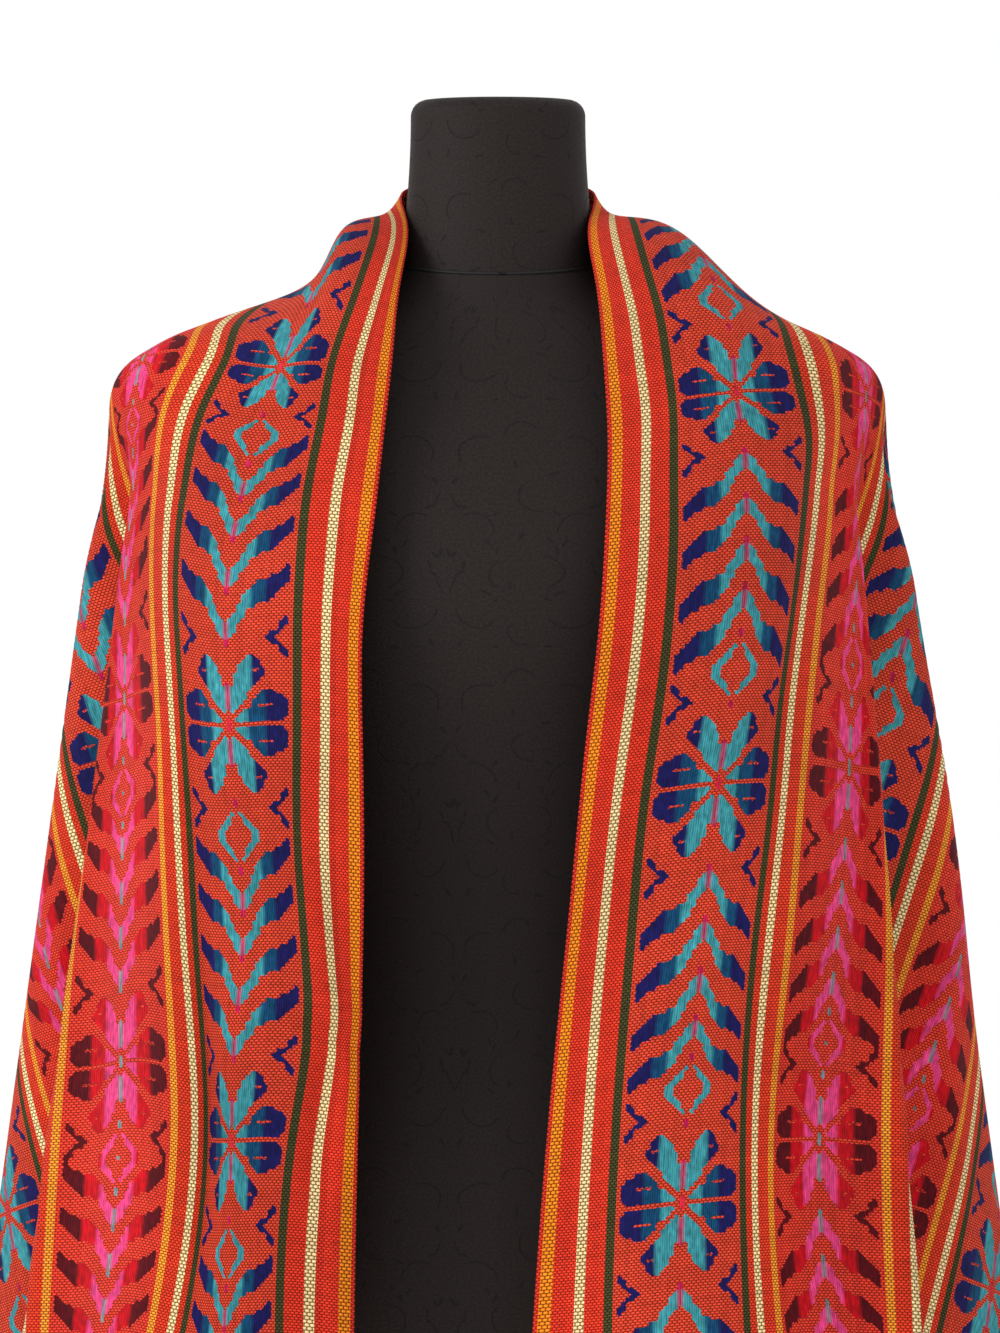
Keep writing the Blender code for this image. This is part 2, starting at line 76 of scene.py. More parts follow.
# ---- the neck edge down the front of each side, in mm: below the shoulder, x to the side, y
FRONT_EDGE = {
    "left": (
        (0, 64, -87), (50, 66.5, -105), (110, 65, -125), (170, 61, -138), (240, 53, -145),
        (320, 45, -147), (460, 31, -149), (800, 10, -150),
    ),
    "right": (
        (0, 64, -87), (50, 69, -105), (110, 75, -125), (170, 81, -139), (240, 81, -147),
        (320, 80, -150), (460, 83, -152), (800, 88, -152),
    ),
}

# ---- the folds that fan out from each shoulder tip, front to back: front panel, ridge and pleat,
# side front, ridge and valley, back ridge and valley, last ridge, back panel. How far each leans
# out to the side and forward, as a slope in thousandths, and how far in it sets off, in mm
FAN = {
    "left": (
        (10, 232, 19), (55, 220, 19), (-60, 130, 14), (106, -20, 2), (120, -110, 0),
        (-120, -120, 0), (118, -200, 0), (-110, -230, 0), (105, -280, 0), (26, -300, 0),
    ),
    "right": (
        (64, 145, 17), (108, 115, 17), (-45, 55, 13), (108, -55, 2), (120, -140, 0),
        (-118, -150, 0), (116, -225, 0), (-110, -250, 0), (102, -295, 0), (22, -305, 0),
    ),
}
# unseen points that lead the fan's curve in and out, from its first and its last point
FAN_LEADS = ((-0.09, 0.01, 0.0), (-0.09, 0.0, 0.0))
FAN_WALK = 24
# how far below the tip the folds set in, from none to their full slope; how far down they have set
# off; and the slope of the plain bulge that the cloth has before there are folds
FAN_OPENS = (0.02, 0.15)
FAN_START = 0.10
PLAIN_BULGE = 0.10
# a slope that leans inwards stops doing so about this far down
VALLEY_REACH = 0.29

# ---- the soft roll of each front panel between its neck edge and its fold: how far out to the
# side, most of it at one height, and how far forward, growing all the way down
FRONT_ROLL = {"left": (0.000, 0.006), "right": (0.006, 0.022)}
ROLL_OUT_AT = 0.22
ROLL_OUT_HALF = 0.20
ROLL_FORWARD_GROWS = (0.05, 0.40)

# ---- the yoke's dip fades out this far below the shoulder tip
DIP_FADES = (0.03, 0.18)

# steps of the walk down the hang that keeps the cloth's own length
HANG_STEPS = 28

# ---- the dress form: level sections of its torso, bottom to top, in mm. Height, half width, depth
# in front, depth behind, and squareness of the section, where 2 is an ellipse
FORM_TORSO = np.array((
    (770, 158, 98, 104, 2.5), (830, 160, 102, 110, 2.5), (900, 150, 98, 100, 2.4),
    (1000, 124, 86, 80, 2.3), (1080, 130, 92, 82, 2.3), (1160, 146, 108, 90, 2.4),
    (1230, 160, 120, 96, 2.5), (1290, 170, 108, 100, 2.7), (1340, 182, 84, 86, 2.8),
    (1370, 185, 67, 75, 2.5), (1393, 169, 55, 65, 2.3), (1411, 130, 49, 57, 2.1),
    (1424, 88, 45, 52, 2.0), (1444, 61, 42, 50, 2.0),
)) * (MM, MM, MM, MM, 1.0)
FORM_ROUNDING = 0.022
FORM_SETBACK = 0.008


def smooth_step(value, low, high):
    """0 below low, 1 above high, and a smooth rise between."""
    t = np.clip((value - low) / (high - low), 0.0, 1.0)
    return t * t * (3.0 - 2.0 * t)


def soft_ramp(value, half_width):
    """0 below -half_width, the value itself above half_width, and a parabola between."""
    bend = (value + half_width) ** 2 / (4.0 * half_width)
    return np.where(value <= -half_width, 0.0, np.where(value >= half_width, value, bend))


def spline(knots, points, at):
    """A natural cubic spline through points (a row for each knot), read at the given values."""
    knots = np.asarray(knots, float)
    points = np.asarray(points, float)
    at = np.asarray(at, float)
    count = len(knots)
    gaps = np.diff(knots)
    system = np.eye(count)
    right_side = np.zeros_like(points)
    for k in range(1, count - 1):
        system[k, k - 1] = gaps[k - 1]
        system[k, k] = 2.0 * (gaps[k - 1] + gaps[k])
        system[k, k + 1] = gaps[k]
        after, before = points[k + 1] - points[k], points[k] - points[k - 1]
        right_side[k] = 6.0 * (after / gaps[k] - before / gaps[k - 1])
    bends = np.linalg.solve(system, right_side.reshape(count, -1)).reshape(points.shape)
    k = np.clip(np.searchsorted(knots, at) - 1, 0, count - 2)
    shape = at.shape + (1,) * (points.ndim - 1)
    width = gaps[k].reshape(shape)
    before = (knots[k + 1] - at).reshape(shape)
    after = (at - knots[k]).reshape(shape)
    return (bends[k] * before ** 3 / (6.0 * width) + bends[k + 1] * after ** 3 / (6.0 * width)
            + (points[k] / width - bends[k] * width / 6.0) * before
            + (points[k + 1] / width - bends[k + 1] * width / 6.0) * after)


def yoke_point(across, along):
    """A point of the cloth over the neck and one shoulder."""
    knots = np.array([row[0] for row in YOKE]) * MM
    here = np.array([row[1:] for row in YOKE]) * MM
    mirrored = here[1:][::-1] * np.array([-1.0, 1.0, 1.0])
    sections = spline(np.concatenate([-knots[1:][::-1], knots]),
                      np.concatenate([mirrored, here]), along)
    weights = spline(YOKE_ACROSS, np.eye(len(YOKE_ACROSS)), across)
    return np.einsum("nk,nkc->nc", weights, sections)


def fan_curve(side):
    """The flat angle from front to back, and the fan's slopes and start at each."""
    nodes = np.array(FAN[side]) * MM
    points = np.vstack([nodes[0] + FAN_LEADS[0], nodes, nodes[-1] + FAN_LEADS[1]])
    samples = []
    for k in range(1, len(points) - 2):
        p0, p1, p2, p3 = points[k - 1:k + 3]
        t = np.linspace(0.0, 1.0, FAN_WALK, endpoint=False)[:, None]
        samples.append(0.5 * (2.0 * p1 + (p2 - p0) * t
                              + (2.0 * p0 - 5.0 * p1 + 4.0 * p2 - p3) * t ** 2
                              + (3.0 * p1 - p0 - 3.0 * p2 + p3) * t ** 3))
    samples.append(points[-2][None, :])
    curve = np.vstack(samples)
    runs = np.linalg.norm(np.diff(curve[:, :2], axis=0), axis=1)
    length = np.concatenate([[0.0], np.cumsum(runs)])
    return length / length[-1] * QUARTER_TURN, curve


def hang_offset(side, across, along, angle, reach):
    """How far the hanging cloth moves sideways and in y from where its hang begins."""
    angles, curve = fan_curve(side)
    folded = np.stack([np.interp(angle, angles, curve[:, k]) for k in range(3)], axis=-1)
    share = (angle / QUARTER_TURN)[..., None]
    plain = curve[0] * (1.0 - share) + curve[-1] * share
    plain[..., 0] += PLAIN_BULGE * np.sin(2.0 * angle)
    opened = smooth_step(reach, *FAN_OPENS)[..., None]
    slopes = plain + (folded - plain) * opened
    inward = VALLEY_REACH * (1.0 - np.exp(-reach / VALLEY_REACH))
    out = slopes[..., 0] * np.where(slopes[..., 0] < 0.0, inward, reach)
    out = out - slopes[..., 2] * smooth_step(reach, 0.0, FAN_START)
    forward = slopes[..., 1] * reach

    edge = np.array(FRONT_EDGE[side]) * MM
    edge_now = spline(edge[:, 0], edge[:, 1:] - edge[0, 1:], np.minimum(reach, edge[-1, 0]))
    towards_edge = (1.0 - across / TIP_ACROSS) * np.cos(angle) ** 2
    panel_out = curve[0, 0] * reach - curve[0, 2] * smooth_step(reach, 0.0, FAN_START)
    out = out + towards_edge * (edge_now[..., 0] - panel_out)
    forward = forward + towards_edge * (-edge_now[..., 1] - curve[0, 1] * reach)
    roll = np.sin(math.pi * np.clip(across / TIP_ACROSS, 0.0, 1.0)) * np.cos(angle) ** 2
    roll_out, roll_forward = FRONT_ROLL[side]
    out = out + roll_out * roll * np.exp(-((reach - ROLL_OUT_AT) / ROLL_OUT_HALF) ** 2)
    forward = forward + roll_forward * roll * smooth_step(reach, *ROLL_FORWARD_GROWS)

    towards_centre = (1.0 - along / TIP_ALONG) * np.sin(angle) ** 2
    out = out - towards_centre * curve[-1, 0] * reach
    forward = forward - towards_centre * curve[-1, 1] * reach
    return out, -forward


def half_cloth_point(side, across, along):
    """A point of one half of the cloth, as if it were the +X half."""
    past_across = soft_ramp(across - TIP_ACROSS, SOFT_BEND)
    past_along = soft_ramp(along - TIP_ALONG, SOFT_BEND)
    held_across = across - past_across
    held_along = along - past_along
    start = yoke_point(held_across, held_along)
    at_across, at_along, half_across, half_along, depth, draw = np.array(YOKE_DIP[side]) * MM
    dip = np.exp(-((held_across - at_across) / half_across) ** 2
                 - ((held_along - at_along) / half_along) ** 2)
    reach = np.hypot(past_across, past_along)
    start[:, 0] -= draw * dip * (1.0 - smooth_step(reach, *DIP_FADES))
    start[:, 2] -= depth * dip
    angle = np.arctan2(past_across, past_along)
    travelled = reach[:, None] * np.linspace(0.0, 1.0, HANG_STEPS + 1)[None, :]
    at_steps = [np.repeat(value, HANG_STEPS + 1) for value in (held_across, held_along, angle)]
    out, y = (offset.reshape(travelled.shape)
              for offset in hang_offset(side, *at_steps, travelled.ravel()))
    level = np.hypot(np.diff(out, axis=1), np.diff(y, axis=1))
    drop = np.sqrt(np.maximum((reach[:, None] / HANG_STEPS) ** 2 - level ** 2, 0.0)).sum(axis=1)
    return start + np.stack([out[:, -1], y[:, -1], -drop], axis=-1)


def cloth_points(across, along):
    """Points of the whole cloth. Along is positive at +X and negative at -X."""
    across = np.asarray(across, float)
    along = np.asarray(along, float)
    plus = half_cloth_point("left", across, np.abs(along))
    minus = half_cloth_point("right", across, np.abs(along)) * np.array([-1.0, 1.0, 1.0])
    return np.where((along >= 0.0)[:, None], plus, minus)


# ---- the weave. Picks are numbered from the flower on the left shoulder; the repeat of the blue
# bands is 92 picks. The beat is uneven: tight over the shoulders and behind the neck, looser down
# the fronts. pick, along in mm
BEAT = (
    (-534, -950), (-460, -752), (-442, -705), (-410, -619), (-393, -572), (-368, -505),
    (-350, -456), (-328.5, -393), (-318, -366), (-301, -325), (-276, -280), (-236, -180),
    (-50, 180), (0, 305), (18, 342), (28.7, 370), (39.5, 397), (50, 427), (67, 480), (92, 547),
    (110, 596), (142, 685), (159, 728), (242, 950),
)
# the pink bands repeat more often: pick, and its row of their chart
PINK_ROWS = (
    (-545, -520), (-445, -420), (-361.8, -336), (-274.3, -252), (-2, 0), (87.5, 84),
    (171.7, 168), (271.7, 268),
)

# ---- the warp: stripes and bands across the cloth from the neck edge to the middle; the second
# half mirrors the first. kind, width in mm, columns
BAND_COLUMNS = 29
BAND_MIDDLE = 14
EDGE_GROUP = (
    ("edge red", 2, 1), ("yellow chain", 7, 2), ("edge red", 12.5, 3), ("cream chain", 6, 1),
    ("edge red", 11.5, 3), ("green", 5, 1),
)
INNER_GROUP = (
    ("green", 4.5, 1), ("inner red", 4.5, 1), ("cream chain", 5, 1), ("inner red", 8.5, 2),
    ("yellow", 4.5, 1),
)
BLUE_BAND = (("blue band", 70, BAND_COLUMNS),)
PINK_BAND = (("pink band", 66, BAND_COLUMNS),)
BAND_PAIR = BLUE_BAND + INNER_GROUP + PINK_BAND + INNER_GROUP[::-1]
STRIPES = EDGE_GROUP + BAND_PAIR * 3 + BLUE_BAND + EDGE_GROUP[::-1]

# ---- the motifs, charted on one half of a band: column from the middle, first row, last
# row, yarn. Yarns: 1 heart, 2 inner, 3 middle, 4 outer, 5 flower's heart
CHEVRON = (
    (0, 0, 4, 1),
    (1, 2, 5, 2), (2, 3, 6, 2), (3, 5, 8, 2), (4, 6, 10, 2), (5, 8, 11, 2),
    (6, 8, 12, 3), (7, 9, 13, 3), (8, 9, 13, 3),
    (9, 9, 13, 4), (10, 10, 14, 4), (11, 11, 14, 4), (12, 12, 15, 4), (13, 13, 16, 4),
)
# one quarter of the flower; it and the ring and sprig are mirrored in their middle row too
FLOWER = (
    (0, 0, 1, 5), (0, 4, 9, 1),
    (1, 3, 8, 2), (2, 4, 11, 2), (3, 5, 13, 2), (4, 6, 14, 2), (5, 8, 15, 2),
    (6, 9, 15, 4), (7, 10, 14, 4), (8, 11, 12, 4),
    (2, 1, 1, 2), (3, 1, 2, 2), (4, 1, 3, 2),
    (5, 1, 3, 3), (6, 1, 5, 3), (7, 1, 6, 3), (8, 1, 7, 3),
    (9, 1, 7, 4), (10, 1, 7, 4), (11, 1, 6, 4), (12, 1, 6, 4), (13, 2, 5, 4),
)
# slits in the flower's petals and ears, narrower than a cell, as part of the float is left there:
# first column, last column, row
FLOWER_SLITS = ((7, 10, 4), (6, 7, 12))
SLIT_SHARE = 0.34
RING = (
    (5, 0, 1, 2), (4, 0, 2, 2), (3, 2, 3, 2), (2, 3, 4, 2), (1, 5, 5, 2), (0, 7, 8, 1),
)
SPRIG = ((9, 0, 0, 4), (10, 0, 1, 4), (11, 1, 1, 4), (12, 2, 3, 4), (13, 3, 4, 4))
# ---- the order of the motifs along one repeat, from the flower's middle. "dot" is a single cell in
# the ring, and "middle yarn" the columns where every motif has that yarn
BAND_PLAN = {
    "blue band": {"repeat": 92, "chevrons": (18, 28.7, 39.5, 50), "ring": 67, "sprigs": (19, 73),
                  "dot": False, "middle yarn": ()},
    "pink band": {"repeat": 84, "chevrons": (16, 26, 36, 45.5), "ring": 62, "sprigs": (17, 67),
                  "dot": True, "middle yarn": (5, 6, 7, 8)},
}


def srgb(red, green, blue):
    """A colour from 0-255 display values to linear light."""
    values = np.array([red, green, blue]) / 255.0
    return np.where(values <= 0.04045, values / 12.92, ((values + 0.055) / 1.055) ** 2.4)


PLAIN_YARNS = {
    "edge red": srgb(238, 62, 36),
    "inner red": srgb(236, 66, 34),
    "yellow chain": srgb(248, 140, 26),
    "yellow": srgb(252, 164, 46),
    "cream chain": srgb(246, 220, 162),
    "green": srgb(70, 74, 36),
}
# the ground, then yarns 1 to 5
BAND_YARNS = {
    "blue band": (srgb(226, 74, 46), srgb(192, 20, 82), srgb(64, 156, 166), srgb(12, 72, 110),
                  srgb(24, 22, 88), srgb(214, 36, 66)),
    "pink band": (srgb(234, 64, 42), srgb(122, 144, 148), srgb(244, 68, 134), srgb(208, 2, 22),
                  srgb(92, 2, 16), srgb(126, 144, 146)),
}
# how much the yarns' brightness varies: for a ground stripe, a pick and a cell, and for the floats
# along a line and at a crossing
GROUND_TONES = (0.04, 0.03, 0.05)
FLOAT_TONES = (0.07, 0.09)


def motif_chart(kind):
    """One repeat of a band, a row for each pick: the yarns' numbers, and the floats' share."""
    plan = BAND_PLAN[kind]
    yarns = np.zeros((plan["repeat"], BAND_COLUMNS), int)

    def place(rows, middle, flip, chart, value=None):
        for column, first, last, yarn in rows:
            for step in range(first, last + 1):
                row = int(math.floor(middle + 0.5 + (-step if flip else step))) % plan["repeat"]
                for mirrored in (BAND_MIDDLE - column, BAND_MIDDLE + column):
                    chart[row, mirrored] = yarn if value is None else value

    for apex in plan["chevrons"]:
        place(CHEVRON, apex, False, yarns)
    for flip in (False, True):
        place(FLOWER, 0, flip, yarns)
        place(RING, plan["ring"], flip, yarns)
        for middle in plan["sprigs"]:
            place(SPRIG, middle, flip, yarns)
    if plan["dot"]:
        place([(0, 0, 0, 1)], plan["ring"], False, yarns)
    from_middle = np.abs(np.arange(BAND_COLUMNS) - BAND_MIDDLE)
    yarns[np.isin(yarns, (2, 3, 4)) & np.isin(from_middle, plan["middle yarn"])] = 3
    shares = (yarns > 0).astype(float)
    for flip in (False, True):
        for first, last, step in FLOWER_SLITS:
            slit = [(column, step, step, 0) for column in range(first, last + 1)]
            place(slit, 0, flip, shares, SLIT_SHARE)
    return yarns, shares


def row_along():
    """The picks by number, and where each one lies along the cloth."""
    beat = np.array(BEAT)
    rows = np.arange(beat[0, 0], beat[-1, 0] + 1.0)
    return rows, np.interp(rows, beat[:, 0], beat[:, 1] * MM)


def cloth_columns():
    """The grid's lines across the cloth, the stripe between each two, and each line's column of the
    chart, or -1 outside the bands."""
    lines, kinds, charted = [0.0], [], [-1]
    for kind, width, count in STRIPES:
        in_band = kind in BAND_PLAN
        shares = (np.arange(count) + 0.5) / count if in_band else np.arange(1, count) / count
        lines += [lines[-1] + width * MM * share for share in (*shares, 1.0)]
        kinds += [kind] * (len(shares) + 1)
        charted += [k if in_band else -1 for k in range(len(shares))] + [-1]
    return np.array(lines) * (CLOTH_WIDTH / lines[-1]), kinds, charted


LINES, KINDS, CHARTED = cloth_columns()


def ground_yarns(count, generator):
    """Every cell's colour, and 1 in a chain stripe or 0 outside: picks by columns by four."""
    wide = len(KINDS)
    cells = np.zeros((count, wide, 4))
    for column, kind in enumerate(KINDS):
        cells[:, column, :3] = BAND_YARNS[kind][0] if kind in BAND_PLAN else PLAIN_YARNS[kind]
        cells[:, column, 3] = 1.0 if "chain" in kind else 0.0
    for size, shape in zip(GROUND_TONES, ((1, wide, 1), (count, 1, 1), (count, wide, 1))):
        cells[..., :3] *= 1.0 + size * generator.standard_normal(shape)
    cells[..., :3] = np.clip(cells[..., :3], 0.0, 1.0)
    return cells


def float_yarns(rows, generator):
    """Every crossing of a pick and a line: the float's colour times its share, and the share."""
    charts = {kind: motif_chart(kind) for kind in BAND_PLAN}
    pink_rows = np.floor(np.interp(rows, *np.array(PINK_ROWS).T) + 0.5).astype(int)
    floats = np.zeros((len(rows), len(CHARTED), 4))
    for line, place in enumerate(CHARTED):
        if place < 0:
            continue
        kind = KINDS[line]
        yarns, shares = charts[kind]
        chart_rows = (pink_rows if kind == "pink band" else rows) % len(yarns)
        floats[:, line, :3] = np.array(BAND_YARNS[kind])[yarns[chart_rows, place]]
        floats[:, line, 3] = shares[chart_rows, place]
    for size, along in zip(FLOAT_TONES, (1, len(rows))):
        floats[..., :3] *= 1.0 + size * generator.standard_normal((along, len(CHARTED), 1))
    floats[..., :3] = np.clip(floats[..., :3], 0.0, 1.0) * floats[..., 3:]
    return floats


# ---- how the cloth lies drawn aside on each front, in mm: along, then how far outward it is drawn
# at each place across but the first and the last two, where it stays
DRAWN_ACROSS = (0.0, 0.0415, 0.079, 0.118, 0.139, 0.174, 0.209, 0.300, 0.728)
DRAWN = {
    "left": (
        (60, 0, 0, 0, 0, 0, 0), (165, -10, -4, 0, 0, 0, 0),
        (220, -8, -3, 0, 2, 1, 0), (246, -5, -1, 0, 5, 3, 0),
        (280, -3, 0, 0, 9, 6, 0), (310, 0, 3, 11, 20, 14, 4),
        (340, 2, 11, 24, 31, 24, 8), (380, 4, 15, 24, 31, 23, 8),
        (430, 4, 15, 17, 20, 16, 4), (495, 2, 10, 8, 8, 11, 2),
        (550, -2, 4, 2, 1, 7, 1), (640, -4, 0, -7, -7, -4, 1),
        (742, -4, -4, -11, -16, -18, -4), (950, 0, 0, 0, 0, 0, 0),
    ),
    "right": (
        (60, 0, 0, 0, 0, 0, 0), (160, -20, -9, 0, 0, 0, 0),
        (216, -17, -8, -1, -2, 0, 0), (244, -12, -5, -2, -4, -2, 0),
        (280, -5, -1, -5, -7, -6, 0), (310, -2, 9, 5, 7, 5, 2),
        (360, 4, 17, 17, 23, 16, 8), (400, 2, 14, 16, 20, 17, 8),
        (463, -2, 6, 5, 6, 9, 3), (517, -2, 2, -2, -6, 3, 2),
        (575, -2, -4, -8, -13, -3, 3), (640, -7, -7, -14, -19, -8, 5),
        (700, -9, -3, -21, -25, -14, 5), (737, -4, -3, -24, -28, -17, 5),
        (950, 0, 0, 0, 0, 0, 0),
    ),
}


def drawn_aside(picks):
    """How far outward each crossing of a pick and a line is drawn: picks by lines."""
    drawn = np.zeros((len(picks), len(LINES)))
    for side, sign in SIDES:
        table = np.array(DRAWN[side]) * MM
        here = picks * sign > 0.0
        along = np.clip(picks[here] * sign, table[0, 0], table[-1, 0])
        at_knots = np.pad(spline(table[:, 0], table[:, 1:], along), ((0, 0), (1, 2)))
        drawn[here] = spline(DRAWN_ACROSS, at_knots.T, LINES).T
    return drawn


# ---- creases, in mm: across and along of each end, half width, height
CREASES = {
    "left": (
        (150, 300, 110, 560, 18, -3), (60, 620, 50, 900, 20, 3.5),
        (20, 700, 18, 940, 12, -3), (300, 420, 420, 800, 22, 4),
        (520, 330, 640, 520, 20, -3.5), (110, 140, 190, 240, 16, -2.5),
        (480, 20, 700, 60, 30, 4),
    ),
    "right": (
        (106, 480, 112, 860, 14, -4.5), (134, 500, 142, 860, 14, 3),
        (34, 600, 26, 700, 10, 4), (30, 690, 22, 780, 9, -4),
        (12, 660, 10, 930, 8, 2.5), (200, 340, 240, 720, 20, -3.5),
        (380, 360, 520, 700, 24, 4), (60, 180, 90, 300, 12, -2),
        (-6, 698, 50, 682, 6, -3.2), (-6, 676, 46, 660, 9, 2.4),
        (420, 30, 690, 110, 26, -3.5),
    ),
}
# where along its length, from 0 to 1, a crease fades in and out
CREASE_FADES_IN = (-0.15, 0.25)
CREASE_FADES_OUT = (0.75, 1.15)


def crease_height(across, along):
    """How far the creases lift the cloth's face, at each flat point."""
    lift = np.zeros_like(across)
    for sign, row in [(sign, row) for side, sign in SIDES for row in CREASES[side]]:
        across_0, along_0, across_1, along_1, half, height = np.array(row) * MM
        here = np.stack([across - across_0, along * sign - along_0], axis=-1)
        run = np.array([across_1 - across_0, along_1 - along_0])
        length = np.linalg.norm(run)
        share = here @ run / length ** 2
        aside = (here[..., 0] * run[1] - here[..., 1] * run[0]) / length
        ends = smooth_step(share, *CREASE_FADES_IN) * (1.0 - smooth_step(share, *CREASE_FADES_OUT))
        lift += height * ends * np.exp(-(aside / half) ** 2)
    return lift


def unit(vectors):
    return vectors / np.maximum(np.linalg.norm(vectors, axis=-1, keepdims=True), 1e-12)


def link(made):
    scene.collection.objects.link(made)
    return made


def mesh_object(name, points, faces, finish):
    mesh = bpy.data.meshes.new(name)
    mesh.from_pydata([tuple(p) for p in points], [], faces)
    mesh.materials.append(finish)
    mesh.shade_smooth()
    return link(bpy.data.objects.new(name, mesh))


def write_colours(mesh, name, domain, values):
    layer = mesh.attributes.new(name, "FLOAT_COLOR", domain)
    layer.data.foreach_set("color", values.astype(np.float32).ravel())


# ---- each free edge is turned under in three grid lines: the cloth's half thickness, and how many
# lines in from the edge the turned part ends
SELVEDGE = 0.0008
TURN_LINES = 3
TURN_REACH = 2
# two picks this close are one
SAME_PICK = 1e-5


def turned_edge(face, normal, axis, first):
    """The grid lines past the first or the last line of the cloth, and back under it."""
    at, inner = (0, TURN_REACH) if first else (-1, -1 - TURN_REACH)
    edge, normal_there = np.take(face, at, axis=axis), np.take(normal, at, axis=axis)
    past = edge - SELVEDGE * normal_there + SELVEDGE * unit(edge - np.take(face, inner, axis=axis))
    under = face - 2.0 * SELVEDGE * normal
    lines = [past, np.take(under, at, axis=axis), np.take(under, inner, axis=axis)]
    return np.stack(lines[::-1] if first else lines, axis=axis)


def sheet_points(picks, hems):
    """The sheet's points: picks by lines by three, with the turned edges round them."""
    flat_u, flat_v = np.meshgrid(LINES, picks)
    lying_u = flat_u + drawn_aside(picks)
    face = cloth_points(lying_u.ravel(), flat_v.ravel()).reshape(*flat_u.shape, 3)
    normal = unit(np.cross(np.gradient(face, axis=0), np.gradient(face, axis=1)))
    face = face + normal * crease_height(flat_u, flat_v)[..., None]
    grid = np.concatenate([turned_edge(face, normal, 1, True), face,
                           turned_edge(face, normal, 1, False)], axis=1)
    for first, hem in zip((True, False), hems):
        if hem:
            turned = np.pad(turned_edge(face, normal, 0, first),
                            ((0, 0), (TURN_LINES, TURN_LINES), (0, 0)), mode="edge")
            grid = np.concatenate([turned, grid] if first else [grid, turned], axis=0)
    return grid


def cloth_sheet(name, along_from, along_to, hems, finish, generator):
    """One stretch of the cloth, a quad for each column and pick, with its edges turned under."""
    rows, along = row_along()
    inside = (along > along_from + SAME_PICK) & (along < along_to - SAME_PICK)
    picks = np.concatenate([[along_from], along[inside], [along_to]])
    cells = ground_yarns(len(picks) - 1, generator)
    floats = float_yarns(np.rint(np.interp(picks, along, rows)).astype(int), generator)

    grid = sheet_points(picks, hems)
    count_v, count_u = grid.shape[:2]
    ends = [TURN_LINES if hem else 0 for hem in hems]
    around = (ends, (TURN_LINES, TURN_LINES), (0, 0))
    turned = [TURN_REACH, 0, 0, *range(len(LINES)), -1, -1, -1 - TURN_REACH]
    flat_uv = np.stack(np.meshgrid(LINES[turned], np.pad(picks, ends, mode="edge")), axis=-1)
    cells = np.pad(cells, around, mode="edge").reshape(-1, 4)
    floats = np.pad(floats, around, mode="edge").reshape(-1, 4)

    corner = np.arange(count_v - 1)[:, None] * count_u + np.arange(count_u - 1)
    faces = np.stack([corner, corner + count_u, corner + 1 + count_u, corner + 1], axis=-1)
    faces = faces.reshape(-1, 4)
    # each quad's diagonal joins the two opposite corners that both carry a float
    share = floats[faces, 3]
    other_way = np.minimum(share[:, 1], share[:, 3]) > np.minimum(share[:, 0], share[:, 2])
    faces[other_way] = np.roll(faces[other_way], 1, axis=1)

    mesh = bpy.data.meshes.new(name)
    mesh.vertices.add(count_v * count_u)
    mesh.vertices.foreach_set("co", grid.astype(np.float32).ravel())
    mesh.loops.add(faces.size)
    mesh.loops.foreach_set("vertex_index", faces.astype(np.int32).ravel())
    mesh.polygons.add(len(faces))
    mesh.polygons.foreach_set("loop_start", np.arange(0, faces.size, 4, dtype=np.int32))
    mesh.update(calc_edges=True)
    write_colours(mesh, "ground", "CORNER", np.repeat(cells, 4, axis=0))
    write_colours(mesh, "floats", "POINT", floats)
    uv = flat_uv.reshape(-1, 2)[faces.ravel()]
    mesh.uv_layers.new(name="flat").data.foreach_set("uv", uv.astype(np.float32).ravel())
    mesh.materials.append(finish)
    mesh.shade_smooth()
    return link(bpy.data.objects.new(name, mesh))


